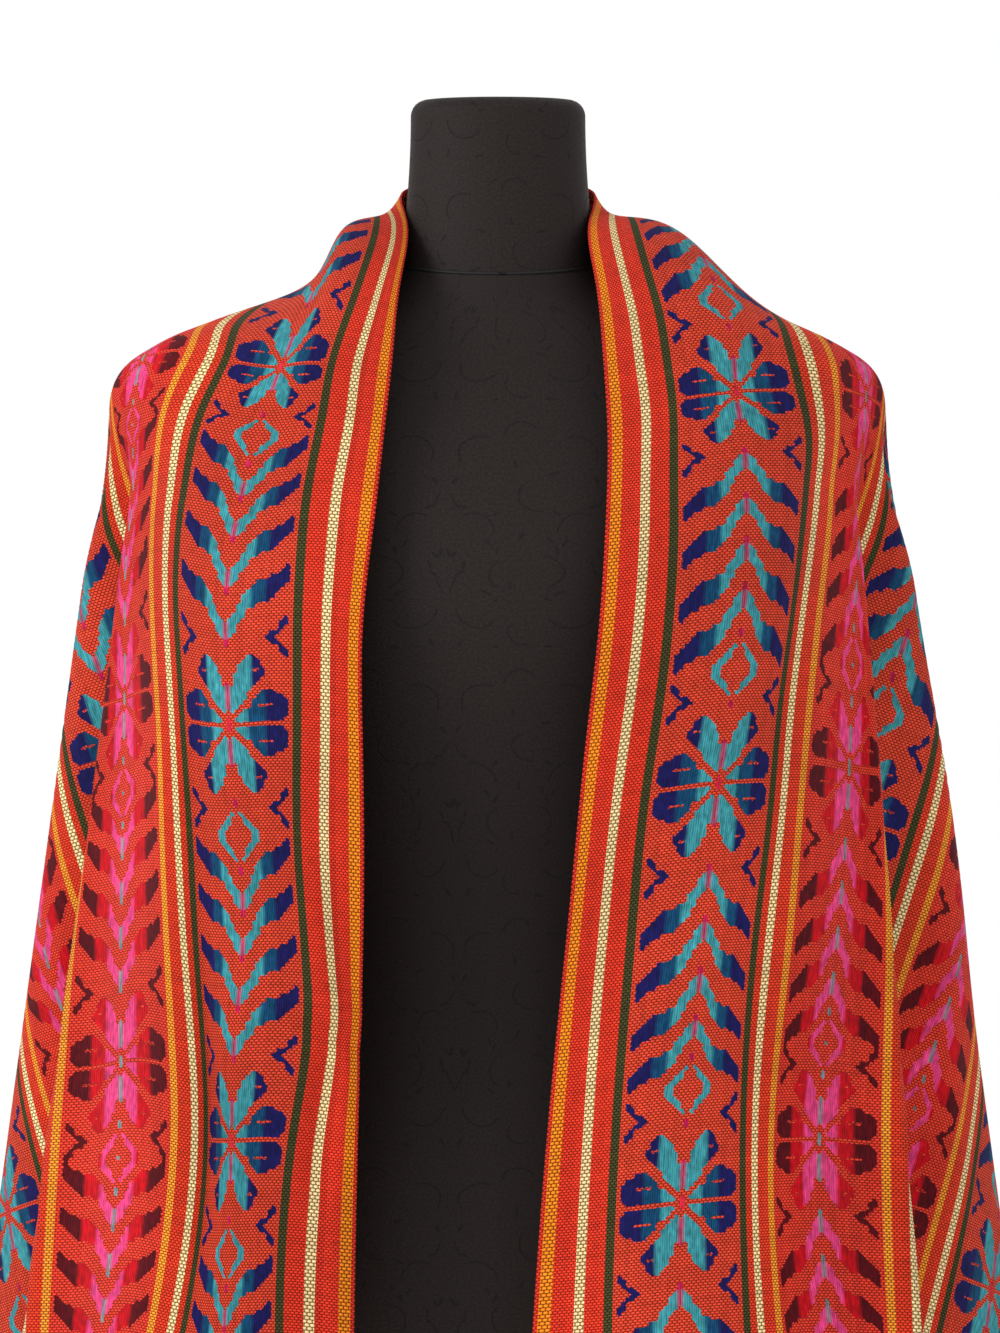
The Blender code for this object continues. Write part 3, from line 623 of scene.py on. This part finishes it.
class Finish:
    """A material and short ways to add nodes to it."""

    def __init__(self, name, roughness, **settings):
        self.material = bpy.data.materials.new(name)
        self.material.use_nodes = True
        self.tree = self.material.node_tree
        self.shader = self.tree.nodes["Principled BSDF"]
        self.shader.inputs["Roughness"].default_value = roughness
        for socket, value in settings.items():
            self.shader.inputs[socket.replace("_", " ")].default_value = value

    def put(self, socket, value):
        if isinstance(value, bpy.types.NodeSocket):
            self.tree.links.new(value, socket)
        else:
            socket.default_value = value

    def node(self, kind, *values, **settings):
        """A node with these settings, and these values or links in its first sockets."""
        made = self.tree.nodes.new("ShaderNode" + kind)
        for key, value in settings.items():
            setattr(made, key, value)
        for socket, value in zip(made.inputs, values):
            self.put(socket, value)
        return made

    def flat(self, uv_map):
        """The flat coordinates, as one vector and apart."""
        uv = self.node("UVMap", uv_map=uv_map).outputs[0]
        split = self.node("SeparateXYZ", uv)
        return uv, split.outputs[0], split.outputs[1]

    def math(self, operation, *values):
        return self.node("Math", *values, operation=operation).outputs[0]

    def times(self, first, second):
        return self.math("MULTIPLY", first, second)

    def weighed(self, first, by_first, second, by_second):
        """first * by_first + second * by_second"""
        return self.math("ADD", self.times(first, by_first), self.times(second, by_second))

    def hump(self, value):
        """Half a sine wave over each whole step of the value."""
        return self.math("SINE", self.times(self.math("FRACT", value), math.pi))

    def mix(self, share, first, second, kind="RGBA", blend="MIX"):
        made = self.node("Mix", share, data_type=kind, blend_type=blend)
        at = {"FLOAT": (2, 3, 0), "RGBA": (6, 7, 2)}[kind]
        self.put(made.inputs[at[0]], first)
        self.put(made.inputs[at[1]], second)
        return made.outputs[at[2]]

    def scaled(self, colour, factor):
        made = self.node("VectorMath", colour, operation="SCALE")
        self.put(made.inputs["Scale"], factor)
        return made.outputs[0]

    def noise(self, vector, scale, detail=2.0):
        made = self.node("TexNoise", vector)
        made.inputs["Scale"].default_value = scale
        made.inputs["Detail"].default_value = detail
        return made.outputs["Fac"]

    def ramp(self, value, low, high, to_low=0.0, to_high=1.0):
        return self.node("MapRange", value, low, high, to_low, to_high,
                         interpolation_type="SMOOTHSTEP").outputs[0]

    def mottled(self, colour, vector, scale, detail, least, most):
        brightness = self.ramp(self.noise(vector, scale, detail), 0.3, 0.7, least, most)
        return self.scaled(colour, brightness)

    def base_colour(self, colour):
        self.put(self.shader.inputs["Base Color"], colour)

    def bump(self, height, strength, distance):
        made = self.node("Bump")
        made.inputs["Strength"].default_value = strength
        made.inputs["Distance"].default_value = distance
        self.put(made.inputs["Height"], height)
        self.put(self.shader.inputs["Normal"], made.outputs[0])


def thread_pattern(finish, u, v, stitch):
    """Rounded stitches, each row half a stitch aside: 1 on top of each thread, 0 in the gaps."""
    along = finish.math("DIVIDE", v, stitch[1])
    aside = finish.times(finish.math("FLOOR", along), 0.5)
    across = finish.math("ADD", finish.math("DIVIDE", u, stitch[0]), aside)
    return finish.times(finish.hump(across), finish.hump(along))


# ---- the weave's stitches, across and along, in metres, and how their height turns into painted shade and highlight
PLAIN_STITCH = (0.0025, 0.0016)
CHAIN_STITCH = (0.0030, 0.0021)
PLAIN_RISE = (0.10, 0.62)
CHAIN_RISE = (0.12, 0.55)
# the floats: one strand's width; the streaks of their yarn, so many to a metre each way, and how
# they turn into tone; the part in that tone of each strand's painted shade and highlight, and its
# height in the bump
STRAND = 0.0012
STREAKS = (800.0, 130.0)
STREAK_RISE = (0.28, 0.72)
STRAND_PART = 0.40
STRAND_HEIGHT = (0.35, 0.75)
# a float's edge is ragged by this much of a cell, on a noise of this scale
RAGGED = 0.8
RAGGED_SCALE = 620.0
# how dark each kind is in its gaps, partly the darker yarn seen there and partly painted shade, and
# the painted highlight on top of its threads; for the floats these ends also hold their streaks
PLAIN_GAP_WEFT_AND_SHADE = (0.34, 0.12, 0.15, 1.0)
CHAIN_GAP_YARN_AND_SHADE = (0.24, 0.16, 0.08, 1.0)
FLOAT_GAP_SHADE_AND_STREAK = (0.36, 0.36, 0.36, 1.0)
THREAD_TOP_HIGHLIGHT_AND_STREAK = (1.22, 1.22, 1.22, 1.0)
# what mottles the cloth, the fringe and the cover: a noise's scale and detail, and the least and
# the most that it brightens the colour
CLOUD = (9.0, 3.0, 0.74, 0.86)
FUZZ = (900.0, 2.0, 0.7, 1.1)
LINT = (700.0, 1.0, 0.75, 1.25)


def woven_finish():
    """Plain weave ground, chain stripes and lengthwise floats, all from the flat coordinates, with
    painted shade in the gaps between threads and a painted highlight on their tops.
    """
    made = Finish("woven_wool", 0.85, Sheen_Weight=0.03, Sheen_Roughness=0.5,
                  Specular_IOR_Level=0.12)
    ground = made.node("Attribute", attribute_name="ground")
    floats = made.node("Attribute", attribute_name="floats")
    is_chain, share = ground.outputs["Alpha"], floats.outputs["Alpha"]
    uv, u, v = made.flat("flat")

    ragged = made.noise(uv, RAGGED_SCALE, 1.0)
    edge = made.math("ADD", share, made.math("MULTIPLY_ADD", ragged, RAGGED, -RAGGED / 2.0))
    is_float = made.math("GREATER_THAN", edge, 0.5)
    # the attribute holds the yarn's colour times its share, so it blends rightly between points
    whole = made.math("DIVIDE", 1.0, made.math("MAXIMUM", share, 0.05))
    yarn = made.scaled(floats.outputs["Color"], whole)
    colour = made.mix(is_float, ground.outputs["Color"], yarn)

    plain = thread_pattern(made, u, v, PLAIN_STITCH)
    chain = thread_pattern(made, u, v, CHAIN_STITCH)
    # each float strand rounded: painted shade between strands, painted highlight on their tops
    strand = made.hump(made.math("DIVIDE", u, STRAND))
    stretched = made.node("CombineXYZ", made.times(u, STREAKS[0]), made.times(v, STREAKS[1]))
    streak = made.ramp(made.noise(stretched.outputs[0], 1.0), *STREAK_RISE)

    # the threads' height as tone: painted shade in the gaps, painted highlight on top
    tone = made.mix(is_chain, made.ramp(plain, *PLAIN_RISE), made.ramp(chain, *CHAIN_RISE), "FLOAT")
    strand_shade_and_streaks = made.weighed(strand, STRAND_PART, streak, 1.0 - STRAND_PART)
    tone = made.mix(is_float, tone, strand_shade_and_streaks, "FLOAT")
    gap_shade_and_yarn = made.mix(is_float, made.mix(is_chain, PLAIN_GAP_WEFT_AND_SHADE, CHAIN_GAP_YARN_AND_SHADE), FLOAT_GAP_SHADE_AND_STREAK)
    # the colour darkened in the gaps by painted shade and the yarn there, and brightened on top by
    # a painted highlight
    shaded = made.mix(1.0, colour, made.mix(tone, gap_shade_and_yarn, THREAD_TOP_HIGHLIGHT_AND_STREAK), blend="MULTIPLY")
    made.base_colour(made.mottled(shaded, uv, *CLOUD))
    height = made.mix(is_chain, plain, chain, "FLOAT")
    strand_height = made.math("MULTIPLY_ADD", strand, *STRAND_HEIGHT)
    height = made.mix(is_float, height, strand_height, "FLOAT")
    made.bump(height, strength=0.85, distance=0.0007)
    return made.material


def yarn_finish():
    """Twisted yarn, coloured lock by lock."""
    made = Finish("fringe_yarn", 0.85, Sheen_Weight=0.25, Specular_IOR_Level=0.18)
    yarn = made.node("Attribute", attribute_name="yarn")
    place = made.node("TexCoord").outputs["Object"]
    made.base_colour(made.mottled(yarn.outputs["Color"], place, *FUZZ))
    made.bump(made.noise(place, *FUZZ[:2]), strength=0.5, distance=0.0005)
    return made.material


# ---- the cover's damask: scrolls and leaves in one tile, mirrored in its middle; every second
# column of tiles is half a tile higher
TILE = (0.105, 0.150)
WANDER = 0.014
WANDER_SCALE = 22.0
COVER_STITCH = (0.0009, 0.0007)
# where a scroll's line ends, from its middle, and a leaf's edge, as a share of its size squared
LINE_EDGE = (0.0003, 0.0007)
LEAF_EDGE = (0.6, 1.1)
COVER_ROUGHNESS = (0.60, 0.70)
COVER_BLACK = (31, 24, 22)
ORNAMENT_BLACK = (23, 18, 18)
# middle across, middle up, radius, then the direction and depth of the opening, in mm
SCROLLS = (
    (16, 30, 11, 0.3, 1, 14), (31, 52, 10, 1, -0.2, 12), (14, 78, 10, -0.6, -0.9, 14),
    (34, 98, 9, -1, 0.4, 11), (17, 124, 11, 0.8, -0.8, 15), (41, 16, 7, -0.8, 0.6, 8),
    (41, 136, 8, -0.3, -1, 10),
)
# middle across, middle up, half length and half width, in mm, and turn in degrees
LEAVES = (
    (3.5, 46, 7, 0.55, 72), (6.5, 52, 2.6, 0.9, 35), (8, 57, 2.8, 0.9, 80),
    (2, 64, 2.8, 1.2, 105), (4.5, 63, 2.4, 0.9, 60), (22, 40, 3, 0.9, -35),
    (27, 36, 2.6, 0.8, 20), (24, 66, 3.2, 0.9, 75), (20, 70, 2.8, 0.8, 120),
    (28, 72, 2.8, 0.8, 50), (26, 88, 3.2, 0.9, 30), (42, 74, 3, 1, 110),
    (4, 96, 6, 0.5, 115), (8, 92, 2.6, 0.9, 150), (27, 112, 3, 0.9, -20),
    (5, 108, 2.6, 1.1, 60), (43, 118, 3, 0.9, 80), (26, 8, 3, 0.9, 10),
    (5, 10, 3.2, 1, 70), (45, 44, 2.8, 0.9, 90),
)


def damask_finish():
    """Black cloth with a slightly darker and duller ornament."""
    made = Finish("black_damask", 0.62, Specular_IOR_Level=0.16)
    uv, u, v = made.flat("cover")
    tiles = made.math("DIVIDE", u, TILE[0])
    raised = made.times(made.math("FLOOR", tiles), 0.5)
    tile_v = made.math("FRACT", made.math("ADD", made.math("DIVIDE", v, TILE[1]), raised))
    from_middle = made.math("ABSOLUTE", made.math("SUBTRACT", made.math("FRACT", tiles), 0.5))
    up = made.times(tile_v, TILE[1])
    wander = made.math("MULTIPLY_ADD", made.noise(uv, WANDER_SCALE), WANDER, -WANDER / 2.0)
    half = made.math("ADD", made.times(from_middle, TILE[0]), wander)

    def place(at_u, at_v):
        return made.math("SUBTRACT", half, at_u * MM), made.math("SUBTRACT", up, at_v * MM)

    marks = []
    for middle_u, middle_v, radius, to_u, to_v, depth in SCROLLS:
        across, along = place(middle_u, middle_v)
        far = made.math("SQRT", made.weighed(across, across, along, along))
        line = made.math("ABSOLUTE", made.math("SUBTRACT", far, radius * MM))
        size = math.hypot(to_u, to_v)
        towards = made.weighed(across, to_u / size, along, to_v / size)
        closed = made.math("LESS_THAN", towards, (radius - depth) * MM)
        marks.append(made.times(made.ramp(line, *LINE_EDGE, 1.0, 0.0), closed))
    for middle_u, middle_v, half_long, half_wide, turn in LEAVES:
        across, along = place(middle_u, middle_v)
        c, s = math.cos(math.radians(turn)), math.sin(math.radians(turn))
        one = made.weighed(across, c / (half_long * MM), along, s / (half_long * MM))
        two = made.weighed(across, -s / (half_wide * MM), along, c / (half_wide * MM))
        marks.append(made.ramp(made.weighed(one, one, two, two), *LEAF_EDGE, 1.0, 0.0))
    pattern = marks[0]
    for mark in marks[1:]:
        pattern = made.math("MAXIMUM", pattern, mark)

    base = made.mix(pattern, (*srgb(*COVER_BLACK), 1.0), (*srgb(*ORNAMENT_BLACK), 1.0))
    made.base_colour(made.mottled(base, uv, *LINT))
    made.put(made.shader.inputs["Roughness"], made.ramp(pattern, 0.0, 1.0, *COVER_ROUGHNESS))
    weave = thread_pattern(made, u, v, COVER_STITCH)
    made.bump(made.weighed(weave, 0.5, pattern, -0.4), strength=0.5, distance=0.0003)
    return made.material


def seam_finish():
    """The plain black cloth of the piping at the neck."""
    made = Finish("seam_cord", 0.6, Specular_IOR_Level=0.3)
    colour = srgb(20, 19, 19)
    grain = made.noise(made.node("TexCoord").outputs["Object"], 900.0, 3.0)
    made.base_colour(made.mix(grain, (*(colour * 0.75), 1.0), (*colour, 1.0)))
    made.bump(grain, strength=0.4, distance=0.0004)
    return made.material


def painted_finish():
    """Satin black paint with a faint orange-peel and a patchy gloss."""
    made = Finish("satin_black_paint", 0.38, Coat_Weight=0.15)
    place = made.node("TexCoord").outputs["Object"]
    patch = made.noise(place, 9.0, 4.0)
    made.base_colour(made.mix(patch, (*srgb(26, 26, 28), 1.0), (*srgb(38, 38, 40), 1.0)))
    made.put(made.shader.inputs["Roughness"], made.ramp(patch, 0.25, 0.75, 0.30, 0.46))
    made.bump(made.noise(place, 420.0), strength=0.12, distance=0.0003)
    return made.material


# a direction that no tube here runs along
TUBE_SIDEWAYS = (0.123, 0.987, 0.101)


def tube(path, radius, sides):
    """Points and quads of a round tube along a path; radius may change along it."""
    path = np.asarray(path, float)
    radius = np.broadcast_to(np.asarray(radius, float), (len(path),))
    ahead = unit(np.gradient(path, axis=0))
    aside = unit(np.cross(ahead, TUBE_SIDEWAYS))
    turn = np.linspace(0.0, 2.0 * math.pi, sides, endpoint=False)[:, None]
    ring = aside[:, None] * np.cos(turn) + np.cross(ahead, aside)[:, None] * np.sin(turn)
    points = (path[:, None] + ring * radius[:, None, None]).reshape(-1, 3)
    faces = []
    for j in range(len(path) - 1):
        for k in range(sides):
            low, high = j * sides + k, j * sides + (k + 1) % sides
            faces.append((low, high, high + sides, low + sides))
    faces.append(tuple(reversed(range(sides))))
    faces.append(tuple(range((len(path) - 1) * sides, len(path) * sides)))
    return points, faces


class Joined:
    """Many small pieces in one mesh, with a colour each."""

    def __init__(self):
        self.points, self.faces, self.colours, self.count = [], [], [], 0

    def add(self, points, faces, colour):
        self.points.append(points)
        self.faces.extend(tuple(v + self.count for v in face) for face in faces)
        self.colours.extend([colour] * sum(len(face) for face in faces))
        self.count += len(points)

    def build(self, name, finish):
        made = mesh_object(name, np.concatenate(self.points), self.faces, finish)
        values = np.pad(np.array(self.colours), ((0, 0), (0, 1)), constant_values=1.0)
        write_colours(made.data, "yarn", "CORNER", values)
        return made


# ---- the fringe: as many locks as its solid has, each four warp ends, a knot and a two-ply twist
FRINGE_LOCKS = 40
FRINGE_TOP = 0.0060
FRINGE_LENGTH = 0.095
FRINGE_SHORTER = 0.07
FRINGE_SWAY = 0.0016
END_COUNT = 4
# as a share of a lock's width
END_PITCH = 0.27
END_RADIUS = 0.0010
END_ROOT = 0.002
END_SAG = 0.002
KNOT_BELOW = 0.016
KNOT_HALF = 0.0034
KNOT_RADIUS = 0.0029
PLY_RADIUS = 0.00135
PLY_TAPER = 0.35
TWIST_RADIUS = 0.00115
TWIST_TURNS = 9.0
PLY_STEPS = 64
TUBE_SIDES = 6
KNOT_SIDES = 9
DOWN = np.array((0.0, 0.0, -1.0))
# how bright an end and a ply are at least, and by how much more at most
END_TONE = 0.90
PLY_TONE = 0.88
TONE_RANGE = 0.20
BAND_END = srgb(222, 66, 34)


def warp_colour(across, least, generator):
    """The fringe's yarn at this place, that of its warp stripe, in a tone of its own."""
    column = int(np.clip(np.searchsorted(LINES, across) - 1, 0, len(KINDS) - 1))
    tone = least + TONE_RANGE * generator.random()
    return PLAIN_YARNS.get(KINDS[column], BAND_END) * tone


def fringe(name, sign, finish, generator):
    """The locks below one hem. The draws' order is the locks' look: sway, length, then tones."""
    made = Joined()
    pitch = CLOTH_WIDTH / FRINGE_LOCKS
    for lock in range(FRINGE_LOCKS):
        middle = pitch * (lock + 0.5)
        spread = (np.arange(END_COUNT) - (END_COUNT - 1) / 2.0) * pitch * END_PITCH
        root_along = np.full(END_COUNT, sign * (CLOTH_HALF_LENGTH - END_ROOT))
        roots = cloth_points(middle + spread, root_along)
        hem = cloth_points([middle], [sign * (CLOTH_HALF_LENGTH + FRINGE_TOP)])[0]
        sway = generator.normal(0.0, FRINGE_SWAY, 2)
        length = FRINGE_LENGTH * (1.0 - FRINGE_SHORTER * generator.random())
        knot = hem + KNOT_BELOW * DOWN
        for end, root in enumerate(roots):
            colour = warp_colour(middle + spread[end], END_TONE, generator)
            share = np.linspace(0.0, 1.0, 6)[:, None]
            sag = END_SAG * DOWN * share * (1.0 - share)
            path = root * (1.0 - share) + knot * share + sag
            made.add(*tube(path, END_RADIUS, TUBE_SIDES), colour)
        colour = warp_colour(middle, PLY_TONE, generator)
        t = np.linspace(-1.0, 1.0, 9)
        width = KNOT_RADIUS * np.sqrt(1.03 - t ** 2)
        made.add(*tube(knot + np.outer(t, KNOT_HALF * DOWN), width, KNOT_SIDES), colour)
        down = np.linspace(0.0, 1.0, PLY_STEPS)
        centre = knot + np.outer(down, (length - KNOT_BELOW) * DOWN)
        centre[:, :2] += np.outer(down ** 2, sway)
        for ply, aside in ((0.0, -0.25), (math.pi, 0.25)):
            turn = down * TWIST_TURNS * 2.0 * math.pi + ply
            circle = np.stack([np.cos(turn), np.sin(turn), np.zeros_like(turn)], axis=1)
            width = PLY_RADIUS * (1.0 - PLY_TAPER * smooth_step(down, 0.85, 1.0))
            colour = warp_colour(middle + aside * pitch, PLY_TONE, generator)
            made.add(*tube(centre + TWIST_RADIUS * circle, width, TUBE_SIDES), colour)
    return made.build(name, finish)


# ---- the form's cover: its steps round and up, how far it lies inside its solid, how the sections
# tilt forward up to the neck, and the neck's top
FORM_STEPS = 72
FORM_HEIGHTS = 96
ROUND_STEPS = 7
NECK_STEPS = 16
COVER_INSET = 0.0012
TILT_FROM = 1.36
NECK_TILT = 0.20
NECK_LIFT = 0.0004
NECK_TOP = 1.545
NECK_TAPER = 0.90
NECK_ROUND = 0.010
PIPING_RADIUS = 0.0010


def form_ring(height, width, front, behind, square):
    """A level section of the form, a closed ring that starts and ends at the front."""
    turn = np.linspace(0.0, 2.0 * math.pi, FORM_STEPS + 1) - QUARTER_TURN
    c, s = np.cos(turn), np.sin(turn)
    x = width * np.sign(c) * np.abs(c) ** (2.0 / square)
    y = np.where(s > 0.0, behind, front) * np.sign(s) * np.abs(s) ** (2.0 / square)
    return np.stack([x, y + FORM_SETBACK, np.full_like(x, height)], axis=1)


def covered(name, rings, finish):
    """A skin through rings, closed at both ends, with the cover's flat coordinates. The seam of the
    coordinates runs down the middle of the front, where the tile mirrors."""
    rings = np.array(rings)
    count, steps, _ = rings.shape
    points = rings.reshape(-1, 3)
    faces = [(j * steps + k, j * steps + k + 1, (j + 1) * steps + k + 1, (j + 1) * steps + k)
             for j in range(count - 1) for k in range(steps - 1)]
    faces += [tuple(reversed(range(steps - 1))),
              tuple((count - 1) * steps + k for k in range(steps - 1))]
    run = np.linalg.norm(np.diff(rings, axis=1), axis=2)
    around = np.concatenate([np.zeros((count, 1)), np.cumsum(run, axis=1)], axis=1)
    around = around / around[:, -1:] * around[count // 2, -1]
    uv = np.stack([around.ravel(), points[:, 2]], axis=1)
    made = mesh_object(name, points, faces, finish)
    corners = np.array([v for face in faces for v in face])
    flat = made.data.uv_layers.new(name="cover")
    flat.data.foreach_set("uv", uv[corners].astype(np.float32).ravel())
    made.data.set_sharp_from_angle(angle=math.radians(50.0))
    return made


def tilt(ring, share):
    ring = ring.copy()
    ring[:, 2] += NECK_TILT * share * (ring[:, 1] - FORM_SETBACK)
    return ring


def rounded_end(level, radius, sizes, square, up):
    """Rings that round the form off above (up is 1) or below (up is -1) this level."""
    rings = [form_ring(level + up * radius * math.cos(turn),
                       *(sizes - radius * (1.0 - math.sin(turn))), square)
             for turn in np.linspace(0.0, QUARTER_TURN, ROUND_STEPS)[:-1]]
    return rings[::-1] if up > 0 else rings


def torso_cover(finish):
    heights = FORM_TORSO[:, 0]
    rings = rounded_end(heights[0], FORM_ROUNDING, FORM_TORSO[0, 1:4] - COVER_INSET,
                        FORM_TORSO[0, 4], -1)
    for level in np.linspace(heights[0], heights[-1], FORM_HEIGHTS):
        section = spline(heights, FORM_TORSO[:, 1:], np.array([level]))[0]
        share = float(smooth_step(level, TILT_FROM, heights[-1]))
        rings.append(tilt(form_ring(level, *(section[:3] - COVER_INSET), section[3]), share))
    return covered("form_torso_cover", rings, finish)


def neck_cover(finish):
    base, square = FORM_TORSO[-1, 0], FORM_TORSO[-1, 4]
    sizes = FORM_TORSO[-1, 1:4] - COVER_INSET
    rings = []
    for share in np.linspace(0.0, 1.0, NECK_STEPS):
        slim = 1.0 - (1.0 - NECK_TAPER) * math.sin(share * QUARTER_TURN)
        level = base + NECK_LIFT + (NECK_TOP - NECK_ROUND - base) * share
        rings.append(tilt(form_ring(level, *(sizes * slim), square), 1.0 - share))
    rings += rounded_end(NECK_TOP - NECK_ROUND, NECK_ROUND, sizes * NECK_TAPER, square, 1)
    return covered("form_neck_cover", rings, finish)


def neck_seam(finish):
    """The piping in the seam that joins the neck's cover to the torso's."""
    base, square = FORM_TORSO[-1, 0], FORM_TORSO[-1, 4]
    ring = tilt(form_ring(base, *(FORM_TORSO[-1, 1:4] - COVER_INSET), square), 1.0)
    points, faces = tube(np.vstack([ring, ring[1:2]]), PIPING_RADIUS, 8)
    return mesh_object("neck_seam_cord", points, faces, finish)


# ---- the pieces
dice = np.random.default_rng(7)
cloth_finish = woven_finish()
fringe_finish = yarn_finish()
damask = damask_finish()

fringes = {}
for side, sign in SIDES:
    name = "fringe_" + side
    fringes[side] = fringe(name + "_yarn", sign, fringe_finish, dice)
    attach(fringes[side], "root")
    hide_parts(name)

# node, piece, from and to along, and the fringe that goes with it
SHEETS = (
    ("shawl_back", "back_cloth", -SEAM_ALONG, SEAM_ALONG, ()),
    ("shawl_left_front", "left_front_cloth", SEAM_ALONG, CLOTH_HALF_LENGTH, ("left",)),
    ("shawl_right_front", "right_front_cloth", -CLOTH_HALF_LENGTH, -SEAM_ALONG, ("right",)),
)
for node, name, start, end, sides in SHEETS:
    hems = (start == -CLOTH_HALF_LENGTH, end == CLOTH_HALF_LENGTH)
    cloth = cloth_sheet(name, start, end, hems, cloth_finish, dice)
    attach(cloth, "root")
    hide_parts(node)

torso = torso_cover(damask)
neck = neck_cover(damask)
piping = neck_seam(seam_finish())
for made, node in ((torso, "form_torso"), (neck, "form_neck"), (piping, None)):
    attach(made, "root")
    if node:
        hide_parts(node)

paint = painted_finish()
for node in ("form_pole", "form_base"):
    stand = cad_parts[node]
    for place in stand.material_slots:
        place.material = paint

# ---- the studio
FLOOR_HALF = 8.0
FLOOR_LEVEL = -0.0006
floor_finish = Finish("studio_floor", 0.9)
floor_finish.base_colour((0.86, 0.86, 0.85, 1.0))
floor_points = [(x * FLOOR_HALF, y * FLOOR_HALF, FLOOR_LEVEL)
                for x, y in ((-1, -1), (1, -1), (1, 1), (-1, 1))]
floor = mesh_object("studio_floor", floor_points, [(0, 1, 2, 3)], floor_finish.material)

world = bpy.data.worlds.new("studio")
scene.world = world
world.use_nodes = True
background = world.node_tree.nodes["Background"].inputs
background["Color"].default_value = (1.0, 1.0, 1.0, 1.0)
background["Strength"].default_value = 1.0


def area_light(name, place, target, size, power):
    lamp = bpy.data.lights.new(name, "AREA")
    lamp.size = size
    lamp.energy = power
    made = link(bpy.data.objects.new(name, lamp))
    made.location = place
    aim = Vector(target) - Vector(place)
    made.rotation_euler = aim.to_track_quat("-Z", "Y").to_euler()


area_light("key", (-2.7, -2.1, 2.3), (0.0, 0.0, 1.15), 1.4, 66.0)
area_light("fill", (2.4, -2.2, 1.6), (0.0, 0.0, 1.1), 2.0, 2.0)

# a long lens, level with the shoulders; its sensor has the image's 3 to 4
lens = bpy.data.cameras.new("view")
lens.sensor_fit = "VERTICAL"
lens.sensor_height = 24.0
lens.sensor_width = 18.0
lens.lens = 120.0
camera = link(bpy.data.objects.new("view", lens))
camera.location = (0.0012, -4.10, 1.196)
camera.rotation_euler = (QUARTER_TURN, 0.0, 0.0)
scene.camera = camera
scene.view_settings.view_transform = "Standard"
